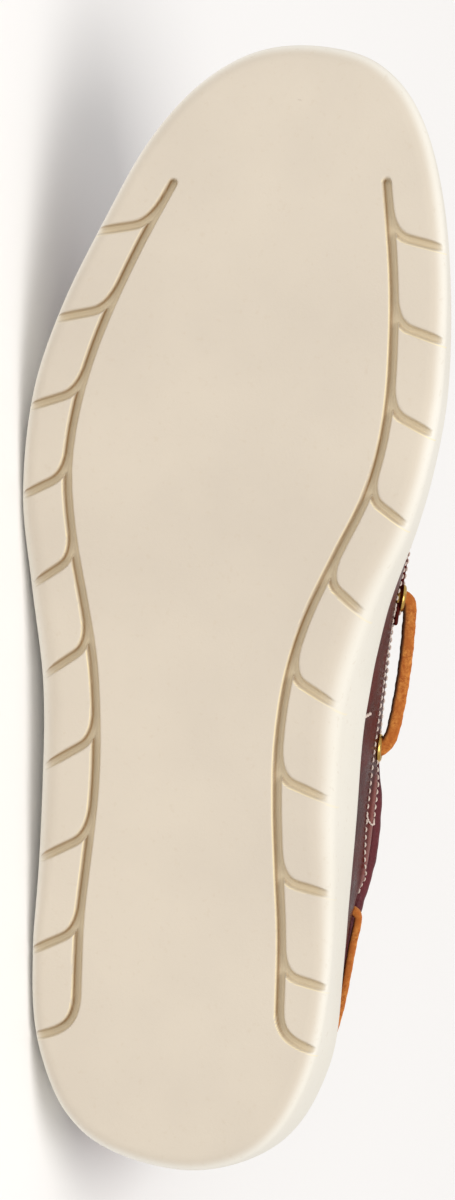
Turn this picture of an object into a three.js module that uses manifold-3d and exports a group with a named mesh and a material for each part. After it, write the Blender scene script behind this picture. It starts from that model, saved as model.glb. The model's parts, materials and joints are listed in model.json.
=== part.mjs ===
// A right boat shoe, size EU 42.5, lying empty on its outer side.
// Every piece is worked out in the shoe's own frame (x from heel to toe, y to the inner side of the foot,
// z up from the ground under the tread, millimetres), and one turned group then lays the shoe on its side.
import * as THREE from "three";
import { mergeVertices } from "three/addons/utils/BufferGeometryUtils.js";
import { ConvexHull } from "three/addons/math/ConvexHull.js";
import Module from "manifold-3d";

const wasm = await Module();
wasm.setup();

// ---------------------------------------------------------------- driving dimensions
const soleLength = 300;
const gap = 0.35; // between pieces that meet
const wall = 2.0; // upper leather with its lining
const rimWidth = 2.8; // top edge of the cup of the sole
const footbed = 4.2; // insole thickness
const insoleInset = 0.5; // between the insole's edge and the upper's inner face
const bedFlare = 1.4; // how far the wall of the cup bulges between its bottom edge and its rim
const stationCount = 36; // stations from heel to toe, so twice as many columns round the shoe
const sectionRows = 9; // rows up the side of the upper
const grooveWidth = 2.5;
const grooveDepth = 2.3;
const crossWidth = 2.5;
const laceWidth = 3.6;
const laceThickness = 2.2;
const eyeletOuter = 3.9;
const eyeletHole = 2.2;
const eyeletHeight = 1.1;
const eyeletSides = 8;
const facetRoom = 0.35; // more room where two pieces follow the same curve in different facets

// Plan outline of the sole at its widest, one row for each station.
const outlineTable = [
  { x: 0, lateral: 3, medial: 3 },
  { x: 4.9, lateral: -19.4, medial: 21.8 },
  { x: 12, lateral: -28.5, medial: 29.8 },
  { x: 22, lateral: -34.6, medial: 35.4 },
  { x: 36, lateral: -39.4, medial: 39.4 },
  { x: 55, lateral: -41.4, medial: 40.9 },
  { x: 78, lateral: -42.0, medial: 40.0 },
  { x: 101, lateral: -43.2, medial: 38.3 },
  { x: 126, lateral: -45.6, medial: 38.4 },
  { x: 151, lateral: -50.6, medial: 44.0 },
  { x: 176, lateral: -54.4, medial: 53.4 },
  { x: 203, lateral: -53.4, medial: 58.4 },
  { x: 226, lateral: -47.4, medial: 58.6 },
  { x: 250, lateral: -38.0, medial: 56.0 },
  { x: 270, lateral: -29.2, medial: 51.0 },
  { x: 284, lateral: -19.8, medial: 44.6 },
  { x: 293, lateral: -10.0, medial: 36.7 },
  { x: 298.4, lateral: 1.0, medial: 26.4 },
  { x: 300, lateral: 13, medial: 13 },
];

// Heights along the sole: tread (arch and toe spring), floor of the cup, rim of the cup.
const soleTable = [
  { x: 0, tread: 2.6, floor: 17.2, rim: 25.8 },
  { x: 9, tread: 1.0, floor: 17.0, rim: 25.5 },
  { x: 24, tread: 0, floor: 16.8, rim: 25.2 },
  { x: 60, tread: 0, floor: 16.2, rim: 25.4 },
  { x: 92, tread: 0, floor: 15.0, rim: 25.8 },
  { x: 116, tread: 0.9, floor: 13.2, rim: 25.8 },
  { x: 140, tread: 1.2, floor: 11.0, rim: 25.2 },
  { x: 172, tread: 0, floor: 8.4, rim: 23.4 },
  { x: 216, tread: 0, floor: 7.6, rim: 22.2 },
  { x: 240, tread: 1.2, floor: 8.4, rim: 22.4 },
  { x: 262, tread: 3.6, floor: 10.6, rim: 23.8 },
  { x: 284, tread: 7.0, floor: 13.8, rim: 26.4 },
  { x: 300, tread: 10.2, floor: 16.8, rim: 28.8 },
];

// Round of the tread's edge, and how far the rim stands in from the widest outline.
const edgeTable = [
  { x: 0, round: 4.0, rimIn: 1.3 },
  { x: 30, round: 4.0, rimIn: 1.2 },
  { x: 55, round: 4.0, rimIn: 2.3 },
  { x: 70, round: 5.1, rimIn: 1.8 },
  { x: 80, round: 5.8, rimIn: 1.15 },
  { x: 100, round: 6.8, rimIn: -0.5 },
  { x: 126, round: 7.5, rimIn: -1.0 },
  { x: 140, round: 7.3, rimIn: -0.1 },
  { x: 151, round: 7.0, rimIn: 0.9 },
  { x: 178, round: 5.0, rimIn: 2.9 },
  { x: 226, round: 4.0, rimIn: 3.3 },
  { x: 270, round: 4.0, rimIn: 3.8 },
  { x: 300, round: 4.2, rimIn: 4.4 },
];

// Ridge of the last, from the back of the ankle opening to the front of the toe box.
const ridgeTable = [
  { x: 45, y: 2.0, z: 100 },
  { x: 75, y: 1.2, z: 104 },
  { x: 105, y: -0.2, z: 105 },
  { x: 130, y: -1.0, z: 103.5 },
  { x: 150, y: -0.6, z: 98 },
  { x: 165, y: 0.4, z: 90.5 },
  { x: 180, y: 2.0, z: 81.5 },
  { x: 197, y: 4.2, z: 72 },
  { x: 215, y: 6.6, z: 63.5 },
  { x: 235, y: 9.2, z: 56.2 },
  { x: 252, y: 11.0, z: 51.4 },
  { x: 264, y: 12.0, z: 48.6 },
];
const ridgeStart = ridgeTable[0].x;
const ridgeEnd = ridgeTable[ridgeTable.length - 1].x;

// Section of the upper at each station: side control height as a share of the rise, its bulge,
// shoulder reach as a share of the way to the ridge, shoulder drop below the ridge,
// and the share of the section where the leather ends (1 is closed over the foot).
const sectionTable = [
  { x: 0, side: 0.32, bulge: 1.6, reach: 0.15, drop: 14, top: 0.5 },
  { x: 30, side: 0.34, bulge: -0.8, reach: 0.6, drop: 14, top: 0.46 },
  { x: 60, side: 0.4, bulge: -1.4, reach: 0.46, drop: 13, top: 0.38 },
  { x: 90, side: 0.49, bulge: -0.4, reach: 0.14, drop: 11, top: 0.325 },
  { x: 115, side: 0.5, bulge: 0, reach: 0.16, drop: 9, top: 0.36 },
  { x: 132, side: 0.5, bulge: -0.8, reach: 0.26, drop: 6, top: 0.43 },
  { x: 146, side: 0.5, bulge: -2.4, reach: 0.35, drop: 4, top: 0.56 },
  { x: 157, side: 0.51, bulge: -4.2, reach: 0.38, drop: 3, top: 0.74 },
  { x: 168, side: 0.53, bulge: -5.2, reach: 0.38, drop: 2.4, top: 0.83 },
  { x: 184, side: 0.55, bulge: -4.8, reach: 0.38, drop: 2, top: 0.87 },
  { x: 198, side: 0.56, bulge: -3.8, reach: 0.37, drop: 1.6, top: 0.91 },
  { x: 206, side: 0.57, bulge: -3.0, reach: 0.36, drop: 1.4, top: 1 },
  { x: 230, side: 0.6, bulge: -0.8, reach: 0.34, drop: 1.2, top: 1 },
  { x: 262, side: 0.66, bulge: 1.4, reach: 0.3, drop: 1.8, top: 1 },
  { x: 300, side: 0.72, bulge: 2.4, reach: 0.26, drop: 4.2, top: 1 },
];

// The inner side of the upper fills out over the arch, falling off like a bell curve either way.
const archFill = { x: 152, reach: 34, depth: 4 };

// Inner edge of the tread's blocks, along each side of the plain field.
const fieldTable = [
  { x: 43, lateral: -26.1, medial: 27.5 },
  { x: 64, lateral: -27.0, medial: 26.3 },
  { x: 82, lateral: -26.3, medial: 24.1 },
  { x: 98, lateral: -25.8, medial: 22.3 },
  { x: 114, lateral: -26.8, medial: 21.2 },
  { x: 132, lateral: -29.2, medial: 22.3 },
  { x: 148, lateral: -33.1, medial: 26.0 },
  { x: 165, lateral: -37.4, medial: 33.0 },
  { x: 182, lateral: -40.1, medial: 40.2 },
  { x: 198, lateral: -39.3, medial: 43.6 },
  { x: 216, lateral: -35.4, medial: 44.3 },
  { x: 240, lateral: -27.0, medial: 42.4 },
  { x: 267, lateral: -15.4, medial: 37.4 },
];

// Cross grooves: station of the first one's outer end, then one every pitch towards the heel. The long
// groove that they join starts at one station and turns outwards at another.
const crossGrooves = {
  medial: { first: 248.3, pitch: 24.6, count: 9, start: 264.6, turn: 46 },
  lateral: { first: 246.4, pitch: 24.0, count: 9, start: 260.6, turn: 43.5 },
};

// Slant of the cross grooves in degrees: how far they run towards the toe on their way inwards.
const slantTable = [
  { x: 53, lateral: 27, medial: 12 },
  { x: 78, lateral: 29, medial: 11 },
  { x: 102, lateral: 33, medial: 19 },
  { x: 127, lateral: 37, medial: 28 },
  { x: 151, lateral: 36, medial: 37 },
  { x: 175, lateral: 29, medial: 32 },
  { x: 200, lateral: 20, medial: 23 },
  { x: 225, lateral: 14, medial: 15 },
  { x: 250, lateral: 12, medial: 10 },
];
const outerSide = { medial: 1, lateral: -1 };

// How the long groove turns outwards at the heel: control points of the curve, counted from its corner.
const heelTurn = [
  { back: 0, out: 0 },
  { back: 9, out: 0 },
  { back: 10.5, out: 4.5 },
  { back: 13, out: 20 },
];

// ---------------------------------------------------------------- small maths
const clamp = (v, low, high) => Math.min(high, Math.max(low, v));
const lerp = (a, b, t) => a + (b - a) * t;
const fillColumn = (rows, key) => rows.map((row) => [row.x, row[key]]);

// Hermite curve through knots, with the given slopes.
function hermite(knots, slopes, x) {
  let k = 0;
  while (k < knots.length - 2 && x > knots[k + 1][0]) k++;
  const [x0, y0] = knots[k];
  const [x1, y1] = knots[k + 1];
  const h = x1 - x0;
  const t = clamp((x - x0) / h, 0, 1);
  const s = 1 - t;
  return (
    y0 * (1 + 2 * t) * s * s +
    slopes[k] * h * t * s * s +
    y1 * t * t * (3 - 2 * t) +
    slopes[k + 1] * h * t * t * (t - 1)
  );
}

// Smooth curve through a table that never overshoots its rows, so level stretches stay level.
function levelCurve(rows, key) {
  const knots = fillColumn(rows, key);
  const rise = knots.slice(1).map((p, k) => (p[1] - knots[k][1]) / (p[0] - knots[k][0]));
  const slopes = knots.map((_, k) => {
    if (k === 0) return rise[0];
    if (k === knots.length - 1) return rise[k - 1];
    const before = rise[k - 1];
    const after = rise[k];
    return before * after <= 0 ? 0 : (2 * before * after) / (before + after);
  });
  return (x) => hermite(knots, slopes, x);
}

// Round curve through knots, with the slope of each from its neighbours.
function roundCurve(knots) {
  const slopes = knots.map((p, k) => {
    const a = knots[Math.max(0, k - 1)];
    const b = knots[Math.min(knots.length - 1, k + 1)];
    return (b[1] - a[1]) / (b[0] - a[0]);
  });
  return (x) => hermite(knots, slopes, x);
}

const treadHeight = levelCurve(soleTable, "tread");
const floorHeight = levelCurve(soleTable, "floor");
const rimHeight = levelCurve(soleTable, "rim");
const edgeRound = levelCurve(edgeTable, "round");
const rimIn = levelCurve(edgeTable, "rimIn");
const ridgeY = roundCurve(fillColumn(ridgeTable, "y"));
const ridgeZ = roundCurve(fillColumn(ridgeTable, "z"));
const section = Object.fromEntries(
  ["side", "bulge", "reach", "drop", "top"].map((key) => [key, levelCurve(sectionTable, key)]),
);
const slantOf = { medial: levelCurve(slantTable, "medial"), lateral: levelCurve(slantTable, "lateral") };
const fieldEdge = {
  medial: roundCurve(fillColumn(fieldTable, "medial")),
  lateral: roundCurve(fillColumn(fieldTable, "lateral")),
};

// The outline runs once round the sole with an angle: 0 is the back of the heel, pi the tip of the toe,
// positive along the inner side and negative along the outer one. x follows the cosine, so the ends are round.
const angleOf = (x) => Math.acos(1 - (2 * x) / soleLength);
const stationOf = (angle) => (soleLength / 2) * (1 - Math.cos(angle));
const outlineY = (() => {
  const inner = outlineTable.map((row) => [angleOf(row.x), row.medial]);
  const outer = outlineTable.slice(1, -1).map((row) => [-angleOf(row.x), row.lateral]);
  const past = outlineTable
    .slice(-3, -1)
    .reverse()
    .map((row) => [2 * Math.PI - angleOf(row.x), row.lateral]);
  const before = [...outer].reverse();
  const front = outlineTable.slice(-3, -1).map((row) => [angleOf(row.x) - 2 * Math.PI, row.medial]);
  const tip = outlineTable[outlineTable.length - 1];
  return roundCurve([...front, [-Math.PI, tip.lateral], ...before, ...inner, ...past]);
})();

function outlineAt(angle) {
  const step = 1e-3;
  const x = stationOf(angle);
  const a = [stationOf(angle - step), outlineY(wrap(angle - step))];
  const b = [stationOf(angle + step), outlineY(wrap(angle + step))];
  const long = Math.hypot(b[0] - a[0], b[1] - a[1]);
  return { x, y: outlineY(angle), nx: -(b[1] - a[1]) / long, ny: (b[0] - a[0]) / long };
}
function wrap(angle) {
  if (angle > Math.PI) return angle - 2 * Math.PI;
  return angle <= -Math.PI ? angle + 2 * Math.PI : angle;
}
function insetPoint(angle, inset, z) {
  const p = outlineAt(angle);
  const x = p.x - p.nx * inset;
  return new THREE.Vector3(x, p.y - p.ny * inset, typeof z === "function" ? z(x) : z);
}

// ---------------------------------------------------------------- solids
function solidFromLists(points, faces) {
  const geometry = new THREE.BufferGeometry();
  geometry.setAttribute(
    "position",
    new THREE.Float32BufferAttribute(points.flatMap((p) => [p.x, p.y, p.z]), 3),
  );
  geometry.setIndex(faces.flat());
  return solidFromGeometry(geometry);
}

function solidFromGeometry(source) {
  const bare = new THREE.BufferGeometry();
  bare.setAttribute("position", source.getAttribute("position"));
  if (source.index) bare.setIndex(source.index);
  const merged = mergeVertices(bare, 1e-4);
  const kept = [];
  const index = merged.index.array;
  for (let k = 0; k < index.length; k += 3) {
    const [a, b, c] = [index[k], index[k + 1], index[k + 2]];
    if (a !== b && b !== c && a !== c) kept.push(a, b, c);
  }
  const made = new wasm.Manifold(
    new wasm.Mesh({
      numProp: 3,
      vertProperties: new Float32Array(merged.attributes.position.array),
      triVerts: new Uint32Array(kept),
    }),
  );
  if (made.volume() < 0) throw new Error("a solid is inside out");
  return made;
}

function geometryFromSolid(solid) {
  const mesh = solid.getMesh();
  const points = new Float32Array(mesh.numVert * 3);
  for (let k = 0; k < mesh.numVert; k++) {
    points.set(mesh.vertProperties.subarray(k * mesh.numProp, k * mesh.numProp + 3), k * 3);
  }
  const geometry = new THREE.BufferGeometry();
  geometry.setAttribute("position", new THREE.BufferAttribute(points, 3));
  geometry.setIndex(new THREE.BufferAttribute(mesh.triVerts, 1));
  return geometry;
}

const columnCount = 2 * stationCount;
const columnAngle = (i) => wrap((i * Math.PI) / stationCount);
const opposite = (i) => (columnCount - i) % columnCount;

// Closed stack of rings, capped below and above by strips between the two sides of each ring.
function ringStack(rings) {
  const points = rings.flat();
  const faces = [];
  for (let j = 0; j < rings.length - 1; j++) {
    for (let i = 0; i < columnCount; i++) {
      const a = j * columnCount + i;
      const b = j * columnCount + ((i + 1) % columnCount);
      faces.push([a, a + columnCount, b + columnCount], [a, b + columnCount, b]);
    }
  }
  const cap = (start, up) => {
    for (let i = 0; i < stationCount; i++) {
      const quad = [start + i, start + i + 1, start + opposite(i + 1), start + opposite(i)];
      const halves = [
        [quad[0], quad[1], quad[2]],
        [quad[0], quad[2], quad[3]],
      ];
      for (const f of halves) {
        if (new Set(f).size === 3) faces.push(up ? [f[0], f[2], f[1]] : f);
      }
    }
  };
  cap(0, false);
  cap((rings.length - 1) * columnCount, true);
  return solidFromLists(points, faces);
}

// Closed tube through rings of the same number of points, with flat ends.
function loft(rings) {
  const sides = rings[0].length;
  const faces = [];
  for (let j = 0; j < rings.length - 1; j++) {
    for (let k = 0; k < sides; k++) {
      const a = j * sides + k;
      const b = j * sides + ((k + 1) % sides);
      faces.push([a, a + sides, b + sides], [a, b + sides, b]);
    }
  }
  const last = (rings.length - 1) * sides;
  for (let k = 1; k < sides - 1; k++) {
    faces.push([0, k, k + 1], [last, last + k + 1, last + k]);
  }
  return solidFromLists(rings.flat(), faces);
}

const ringOf = (inset, z) =>
  Array.from({ length: columnCount }, (_, i) => {
    const angle = columnAngle(i);
    const x = stationOf(angle);
    return insetPoint(angle, inset(x), z);
  });

// ---------------------------------------------------------------- the last, and patches of its surface
const upperInset = (x) => rimIn(x) + rimWidth + gap;

// Point of the upper's outer face: share 0 is level with the rim of the sole, 1 is on the ridge of the last.
// A Bezier section rises from the rim, past the side and the shoulder, to the ridge.
function lastPoint(angle, share) {
  const x = stationOf(angle);
  const foot = insetPoint(angle, upperInset(x), 0);
  const fill = angle > 0 ? archFill.depth * Math.exp(-(((x - archFill.x) / archFill.reach) ** 2)) : 0;
  const side = insetPoint(angle, upperInset(x) - section.bulge(x) - fill, 0);
  const ridgeX = lerp(ridgeStart, ridgeEnd, x / soleLength);
  const ridge = new THREE.Vector3(ridgeX, ridgeY(ridgeX), ridgeZ(ridgeX));
  const reach = section.reach(x);
  const low = rimHeight(x) + 0.5;
  const controls = [
    [foot.x, foot.y, low],
    [side.x, side.y, lerp(low, ridge.z, section.side(x))],
    [lerp(foot.x, ridge.x, reach), lerp(foot.y, ridge.y, reach), ridge.z - section.drop(x)],
    [ridge.x, ridge.y, ridge.z],
  ];
  const s = 1 - share;
  const weights = [s * s * s, 3 * share * s * s, 3 * share * share * s, share * share * share];
  const mix = (k) => controls.reduce((sum, c, n) => sum + c[k] * weights[n], 0);
  return new THREE.Vector3(mix(0), mix(1), mix(2));
}

function lastNormal(angle, share) {
  const step = 2e-3;
  const low = clamp(share, 0.001, 0.996);
  const along = lastPoint(wrap(angle + step), low).sub(lastPoint(wrap(angle - step), low));
  const up = lastPoint(angle, low + step).sub(lastPoint(angle, low - step));
  return up.cross(along).normalize();
}

// A point standing off the last: out is the distance outside its face.
const offLast = (angle, share, out) =>
  lastPoint(angle, share).addScaledVector(lastNormal(angle, share), out);

// Thickens a grid of surface points into a closed wall between two offsets along the surface's normals.
function thickWall(grid, closedRound, outer, inner) {
  const rows = grid.length;
  const columns = grid[0].length;
  const flat = new THREE.BufferGeometry();
  flat.setAttribute(
    "position",
    new THREE.Float32BufferAttribute(grid.flat().flatMap((p) => [p.x, p.y, p.z]), 3),
  );
  const index = [];
  for (let j = 0; j < rows - 1; j++) {
    for (let i = 0; i < (closedRound ? columns : columns - 1); i++) {
      const a = j * columns + i;
      const b = j * columns + ((i + 1) % columns);
      index.push(a, a + columns, b + columns, a, b + columns, b);
    }
  }
  flat.setIndex(index);
  const sheet = mergeVertices(flat, 1e-3);
  const kept = [];
  for (let k = 0; k < sheet.index.count; k += 3) {
    const face = [0, 1, 2].map((n) => sheet.index.getX(k + n));
    if (new Set(face).size === 3) kept.push(face);
  }
  sheet.setIndex(kept.flat());
  sheet.computeVertexNormals();
  const count = sheet.attributes.position.count;
  const at = (k, out) =>
    new THREE.Vector3()
      .fromBufferAttribute(sheet.attributes.position, k)
      .addScaledVector(new THREE.Vector3().fromBufferAttribute(sheet.attributes.normal, k), out);
  const points = [
    ...Array.from({ length: count }, (_, k) => at(k, outer)),
    ...Array.from({ length: count }, (_, k) => at(k, inner)),
  ];
  const faces = [];
  const used = new Set(kept.flatMap(([a, b, c]) => [`${a},${b}`, `${b},${c}`, `${c},${a}`]));
  for (const [a, b, c] of kept) {
    faces.push([a, b, c], [a + count, c + count, b + count]);
    for (const [from, to] of [
      [a, b],
      [b, c],
      [c, a],
    ]) {
      if (used.has(`${to},${from}`)) continue;
      faces.push([to, from, from + count], [to, from + count, to + count]);
    }
  }
  return solidFromLists(points, faces);
}

// Grid of last points between two angles, with the shares of the section given for each angle.
function lastGrid(angles, rows, shareAt) {
  return Array.from({ length: rows + 1 }, (_, j) =>
    angles.map((angle) => lastPoint(angle, shareAt(angle, j / rows))),
  );
}

// ---------------------------------------------------------------- outsole
function outsoleBlank() {
  const rings = [];
  const edgeSteps = 3;
  for (let k = 0; k <= edgeSteps; k++) {
    const turn = ((Math.PI / 2) * k) / edgeSteps;
    rings.push(
      ringOf(
        (x) => edgeRound(x) * (1 - Math.sin(turn)),
        (x) => treadHeight(x) + edgeRound(x) * (1 - Math.cos(turn)),
      ),
    );
  }
  const middle = (x) => (treadHeight(x) + edgeRound(x) + rimHeight(x)) / 2;
  const rimRound = 0.9;
  rings.push(ringOf((x) => rimIn(x) / 2 - bedFlare / 4, middle));
  rings.push(ringOf(rimIn, (x) => rimHeight(x) - rimRound));
  rings.push(ringOf((x) => rimIn(x) + rimRound, rimHeight));
  return ringStack(rings);
}

function cupHollow() {
  const above = 12;
  const inset = (x) => rimIn(x) + rimWidth;
  return ringStack([
    ringOf(inset, floorHeight),
    ringOf(inset, (x) => rimHeight(x) + above),
  ]);
}

// Prism over a plan shape, with its top lifted by the tread, so that a groove keeps its depth.
function grooveCutter(shape) {
  const geometry = new THREE.ExtrudeGeometry(shape, { depth: 1, bevelEnabled: false, curveSegments: 5 });
  const position = geometry.attributes.position;
  const below = -4;
  for (let k = 0; k < position.count; k++) {
    const top = treadHeight(position.getX(k)) + grooveDepth;
    position.setZ(k, position.getZ(k) > 0.5 ? top : below);
  }
  return solidFromGeometry(geometry);
}

// Closed plan shape of a ribbon along a line of plan points, with a round start.
function ribbonShape(line, width) {
  const half = width / 2;
  const left = [];
  const right = [];
  line.forEach((p, k) => {
    const a = line[Math.max(0, k - 1)];
    const b = line[Math.min(line.length - 1, k + 1)];
    const side = new THREE.Vector2(-(b.y - a.y), b.x - a.x).normalize().multiplyScalar(half);
    left.push(p.clone().add(side));
    right.push(p.clone().sub(side));
  });
  const first = line[0].clone().sub(line[1]).normalize().multiplyScalar(half);
  const nose = [line[0].clone().add(first)];
  return new THREE.Shape([...left, ...right.reverse(), ...nose]);
}

// Middle of the long groove on one side, as a plan point at a station.
function grooveMiddle(side, x) {
  return new THREE.Vector2(x, fieldEdge[side](x) + (outerSide[side] * grooveWidth) / 2);
}

// Long groove beside the plain field; at the heel it turns outwards through the edge.
function longGroove(side) {
  const { start, turn: turnAt } = crossGrooves[side];
  const steps = 17;
  const line = Array.from({ length: steps + 1 }, (_, k) =>
    grooveMiddle(side, lerp(start, turnAt, k / steps)),
  );
  const corner = grooveMiddle(side, turnAt);
  const controls = heelTurn.map(
    ({ back, out }) => new THREE.Vector2(turnAt - back, corner.y + outerSide[side] * out),
  );
  const bend = new THREE.CubicBezierCurve(...controls);
  return ribbonShape([...line, ...bend.getPoints(5).slice(1)], grooveWidth);
}

// Cross groove: from outside the edge, slanting forwards to the long groove, where it bends into it.
function crossGroove(side, index) {
  const { first, pitch } = crossGrooves[side];
  const sign = outerSide[side];
  const edge = outlineAt(sign * angleOf(first - index * pitch));
  const slant = THREE.MathUtils.degToRad(slantOf[side](edge.x));
  const inward = new THREE.Vector2(Math.sin(slant), -sign * Math.cos(slant));
  const pastEdge = 4;
  const stride = 0.25; // of the walk inwards that finds the long groove
  const bendBack = 5;
  const bendFront = 8;
  const outerEnd = new THREE.Vector2(edge.x, edge.y).addScaledVector(inward, -pastEdge);
  const junction = outerEnd.clone();
  while (sign * (junction.y - grooveMiddle(side, junction.x).y) > 0) {
    junction.addScaledVector(inward, stride);
  }
  const bend = new THREE.QuadraticBezierCurve(
    junction.clone().addScaledVector(inward, -bendBack),
    junction,
    grooveMiddle(side, junction.x + bendFront),
  );
  return ribbonShape([outerEnd, ...bend.getPoints(3)], crossWidth);
}

function makeOutsole() {
  let solid = outsoleBlank().subtract(cupHollow());
  for (const side of ["medial", "lateral"]) {
    const { count } = crossGrooves[side];
    let network = grooveCutter(longGroove(side));
    for (let k = 0; k < count; k++) network = network.add(grooveCutter(crossGroove(side, k)));
    solid = solid.subtract(network);
  }
  return solid;
}

// ---------------------------------------------------------------- insole
function makeInsole() {
  const inset = (x) => upperInset(x) + wall + insoleInset;
  const under = (x) => floorHeight(x) + gap;
  const bevel = 1; // along the insole's upper edge
  return ringStack([
    ringOf(inset, under),
    ringOf(inset, (x) => under(x) + footbed - bevel),
    ringOf((x) => inset(x) + bevel, (x) => under(x) + footbed),
  ]);
}

// ---------------------------------------------------------------- upper
const roundAngles = Array.from({ length: columnCount }, (_, i) => columnAngle(i));

function makeUpper(holes) {
  const skirt = roundAngles.map((angle) => {
    const x = stationOf(angle);
    return insetPoint(angle, upperInset(x), (at) => floorHeight(at) + gap);
  });
  const rows = lastGrid(roundAngles, sectionRows, (angle, t) => t * section.top(stationOf(angle)));
  let solid = thickWall([skirt, ...rows], true, 0, -wall);
  for (const hole of holes) solid = solid.subtract(hole);
  return solid;
}

// Evenly spaced angles of a patch: along one side, or across the heel from one side to the other.
const anglesBetween = (from, to, count) =>
  Array.from({ length: count + 1 }, (_, k) => lerp(from, to, k / count));

// ---------------------------------------------------------------- tongue
// It lies under the throat on the ridge of the last: columns run across the foot, from outer to inner side.
function makeTongue() {
  const front = 207;
  const back = 136;
  const rows = 9;
  const across = 8;
  const reachAt = levelCurve(
    [
      { x: back, span: 0.2 },
      { x: 146, span: 0.285 },
      { x: 170, span: 0.3 },
      { x: front, span: 0.22 },
    ],
    "span",
  );
  const grid = Array.from({ length: rows + 1 }, (_, j) => {
    const x = lerp(back, front, j / rows);
    return Array.from({ length: across + 1 }, (_, i) => {
      const v = (2 * i) / across - 1;
      return lastPoint((v < 0 ? -1 : 1) * angleOf(x), 1 - Math.abs(v) * reachAt(x));
    });
  });
  const under = -(wall + gap + 4 * facetRoom);
  const tongueThickness = 2.2;
  return thickWall(grid, false, under, under - tongueThickness);
}

// ---------------------------------------------------------------- padded collar
// A roll along the top edge of the leather from side to side round the heel, with the pad below it inside.
const collarFront = 127;
const collarSpan = angleOf(collarFront);
const rollHeight = 4.0; // half the roll's height
const rollDepth = 4.7; // half its depth, across the leather
const rollInward = 1.4; // its middle lies this far inside the face of the leather

// The roll keeps its full size round the heel and slims to its front ends.
const rollSize = (angle) => Math.sqrt(clamp(1.05 - (Math.abs(angle) / collarSpan) ** 5, 0.05, 1));

function makeCollarPad() {
  const angles = anglesBetween(-collarSpan, collarSpan, 27);
  const sides = 8;
  const rings = angles.map((angle) => {
    const top = section.top(stationOf(angle));
    const out = lastNormal(angle, top);
    const up = lastPoint(angle, top + 0.01).sub(lastPoint(angle, top - 0.01)).normalize();
    const size = rollSize(angle);
    const middle = lastPoint(angle, top);
    middle.addScaledVector(up, rollHeight * size + overlayOut).addScaledVector(out, -rollInward);
    return Array.from({ length: sides }, (_, k) => {
      const turn = (-2 * Math.PI * k) / sides;
      return middle
        .clone()
        .addScaledVector(out, rollDepth * size * Math.cos(turn))
        .addScaledVector(up, rollHeight * size * Math.sin(turn));
    });
  });
  const padRows = 3;
  const padBelow = 0.19; // share of the section that the pad reaches down inside the leather
  const padAbove = 0.035; // and up into the roll
  const padThickness = 4;
  const grid = lastGrid(angles, padRows, (angle, t) => {
    const size = rollSize(angle);
    return section.top(stationOf(angle)) + lerp(-padBelow * size, padAbove * size, t);
  });
  const outer = -(wall + gap + facetRoom);
  return loft(rings).add(thickWall(grid, false, outer, outer - padThickness));
}

// ---------------------------------------------------------------- overlays
const overlayOut = gap + facetRoom;
const overlayThickness = 1.3;
const overlayBelowTop = 0.012; // share of the section between an overlay and the leather's top edge

// Heel strip up the back seam.
function makeBackstay() {
  const halfWidth = 0.105; // as an angle of the outline
  const bottom = 0.115; // as a share of the section
  const angles = anglesBetween(-halfWidth, halfWidth, 4);
  const grid = lastGrid(angles, 6, (angle, t) =>
    lerp(bottom, section.top(stationOf(angle)) - overlayBelowTop, t),
  );
  return thickWall(grid, false, overlayOut + overlayThickness, overlayOut);
}

// Front wing of the quarter on one side, which carries the two front eyelets.
const wing = { back: 147, front: 205, bottomBack: 0.3, bottomFront: 0.62, highest: 0.94 };

function makeEyestay(side) {
  const sign = outerSide[side];
  const angles = anglesBetween(sign * angleOf(wing.back), sign * angleOf(wing.front), 7);
  if (sign < 0) angles.reverse();
  const grid = lastGrid(angles, 5, (angle, t) => {
    const x = stationOf(angle);
    const along = clamp((x - wing.back) / (wing.front - wing.back), 0, 1);
    const top = Math.min(section.top(x), wing.highest) - overlayBelowTop;
    return lerp(lerp(wing.bottomBack, wing.bottomFront, along), top, t);
  });
  return thickWall(grid, false, overlayOut + overlayThickness, overlayOut);
}

// ---------------------------------------------------------------- eyelets
const eyeletPlaces = [
  { name: "eyelet_side_front_medial", x: 154, share: 0.36, side: "medial", out: 1 },
  { name: "eyelet_side_rear_medial", x: 114, share: 0.325, side: "medial", out: 0 },
  { name: "eyelet_side_front_lateral", x: 154, share: 0.36, side: "lateral", out: 1 },
  { name: "eyelet_side_rear_lateral", x: 114, share: 0.325, side: "lateral", out: 0 },
  { name: "eyelet_top_medial", x: 166, share: 0.74, side: "medial", out: 1 },
  { name: "eyelet_low_medial", x: 184, share: 0.77, side: "medial", out: 1 },
  { name: "eyelet_top_lateral", x: 166, share: 0.74, side: "lateral", out: 1 },
  { name: "eyelet_low_lateral", x: 184, share: 0.77, side: "lateral", out: 1 },
];
// Distance from the last's face to the underside of an eyelet.
const eyeletStand = (place) => overlayOut + (place.out ? overlayOut + overlayThickness : 0);

function placeOn(place, out) {
  const angle = outerSide[place.side] * angleOf(place.x);
  const normal = lastNormal(angle, place.share);
  return { at: lastPoint(angle, place.share).addScaledVector(normal, out), normal };
}

function eyeletGeometry() {
  const middle = (eyeletHole + eyeletOuter) / 2;
  const shoulder = 0.45 * eyeletHeight;
  const profile = [
    [eyeletHole, 0],
    [eyeletOuter, 0],
    [eyeletOuter, shoulder],
    [middle, eyeletHeight],
    [eyeletHole, shoulder],
    [eyeletHole, 0],
  ].map(([r, h]) => new THREE.Vector2(r, h));
  return new THREE.LatheGeometry(profile, eyeletSides);
}

function eyeletHoleCutter(place) {
  const through = 14;
  const cutter = new THREE.CylinderGeometry(eyeletHole, eyeletHole, through, eyeletSides);
  const { at, normal } = placeOn(place, 0);
  const turn = new THREE.Quaternion().setFromUnitVectors(new THREE.Vector3(0, 1, 0), normal);
  cutter.applyQuaternion(turn).translate(at.x, at.y, at.z);
  return solidFromGeometry(cutter);
}

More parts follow.
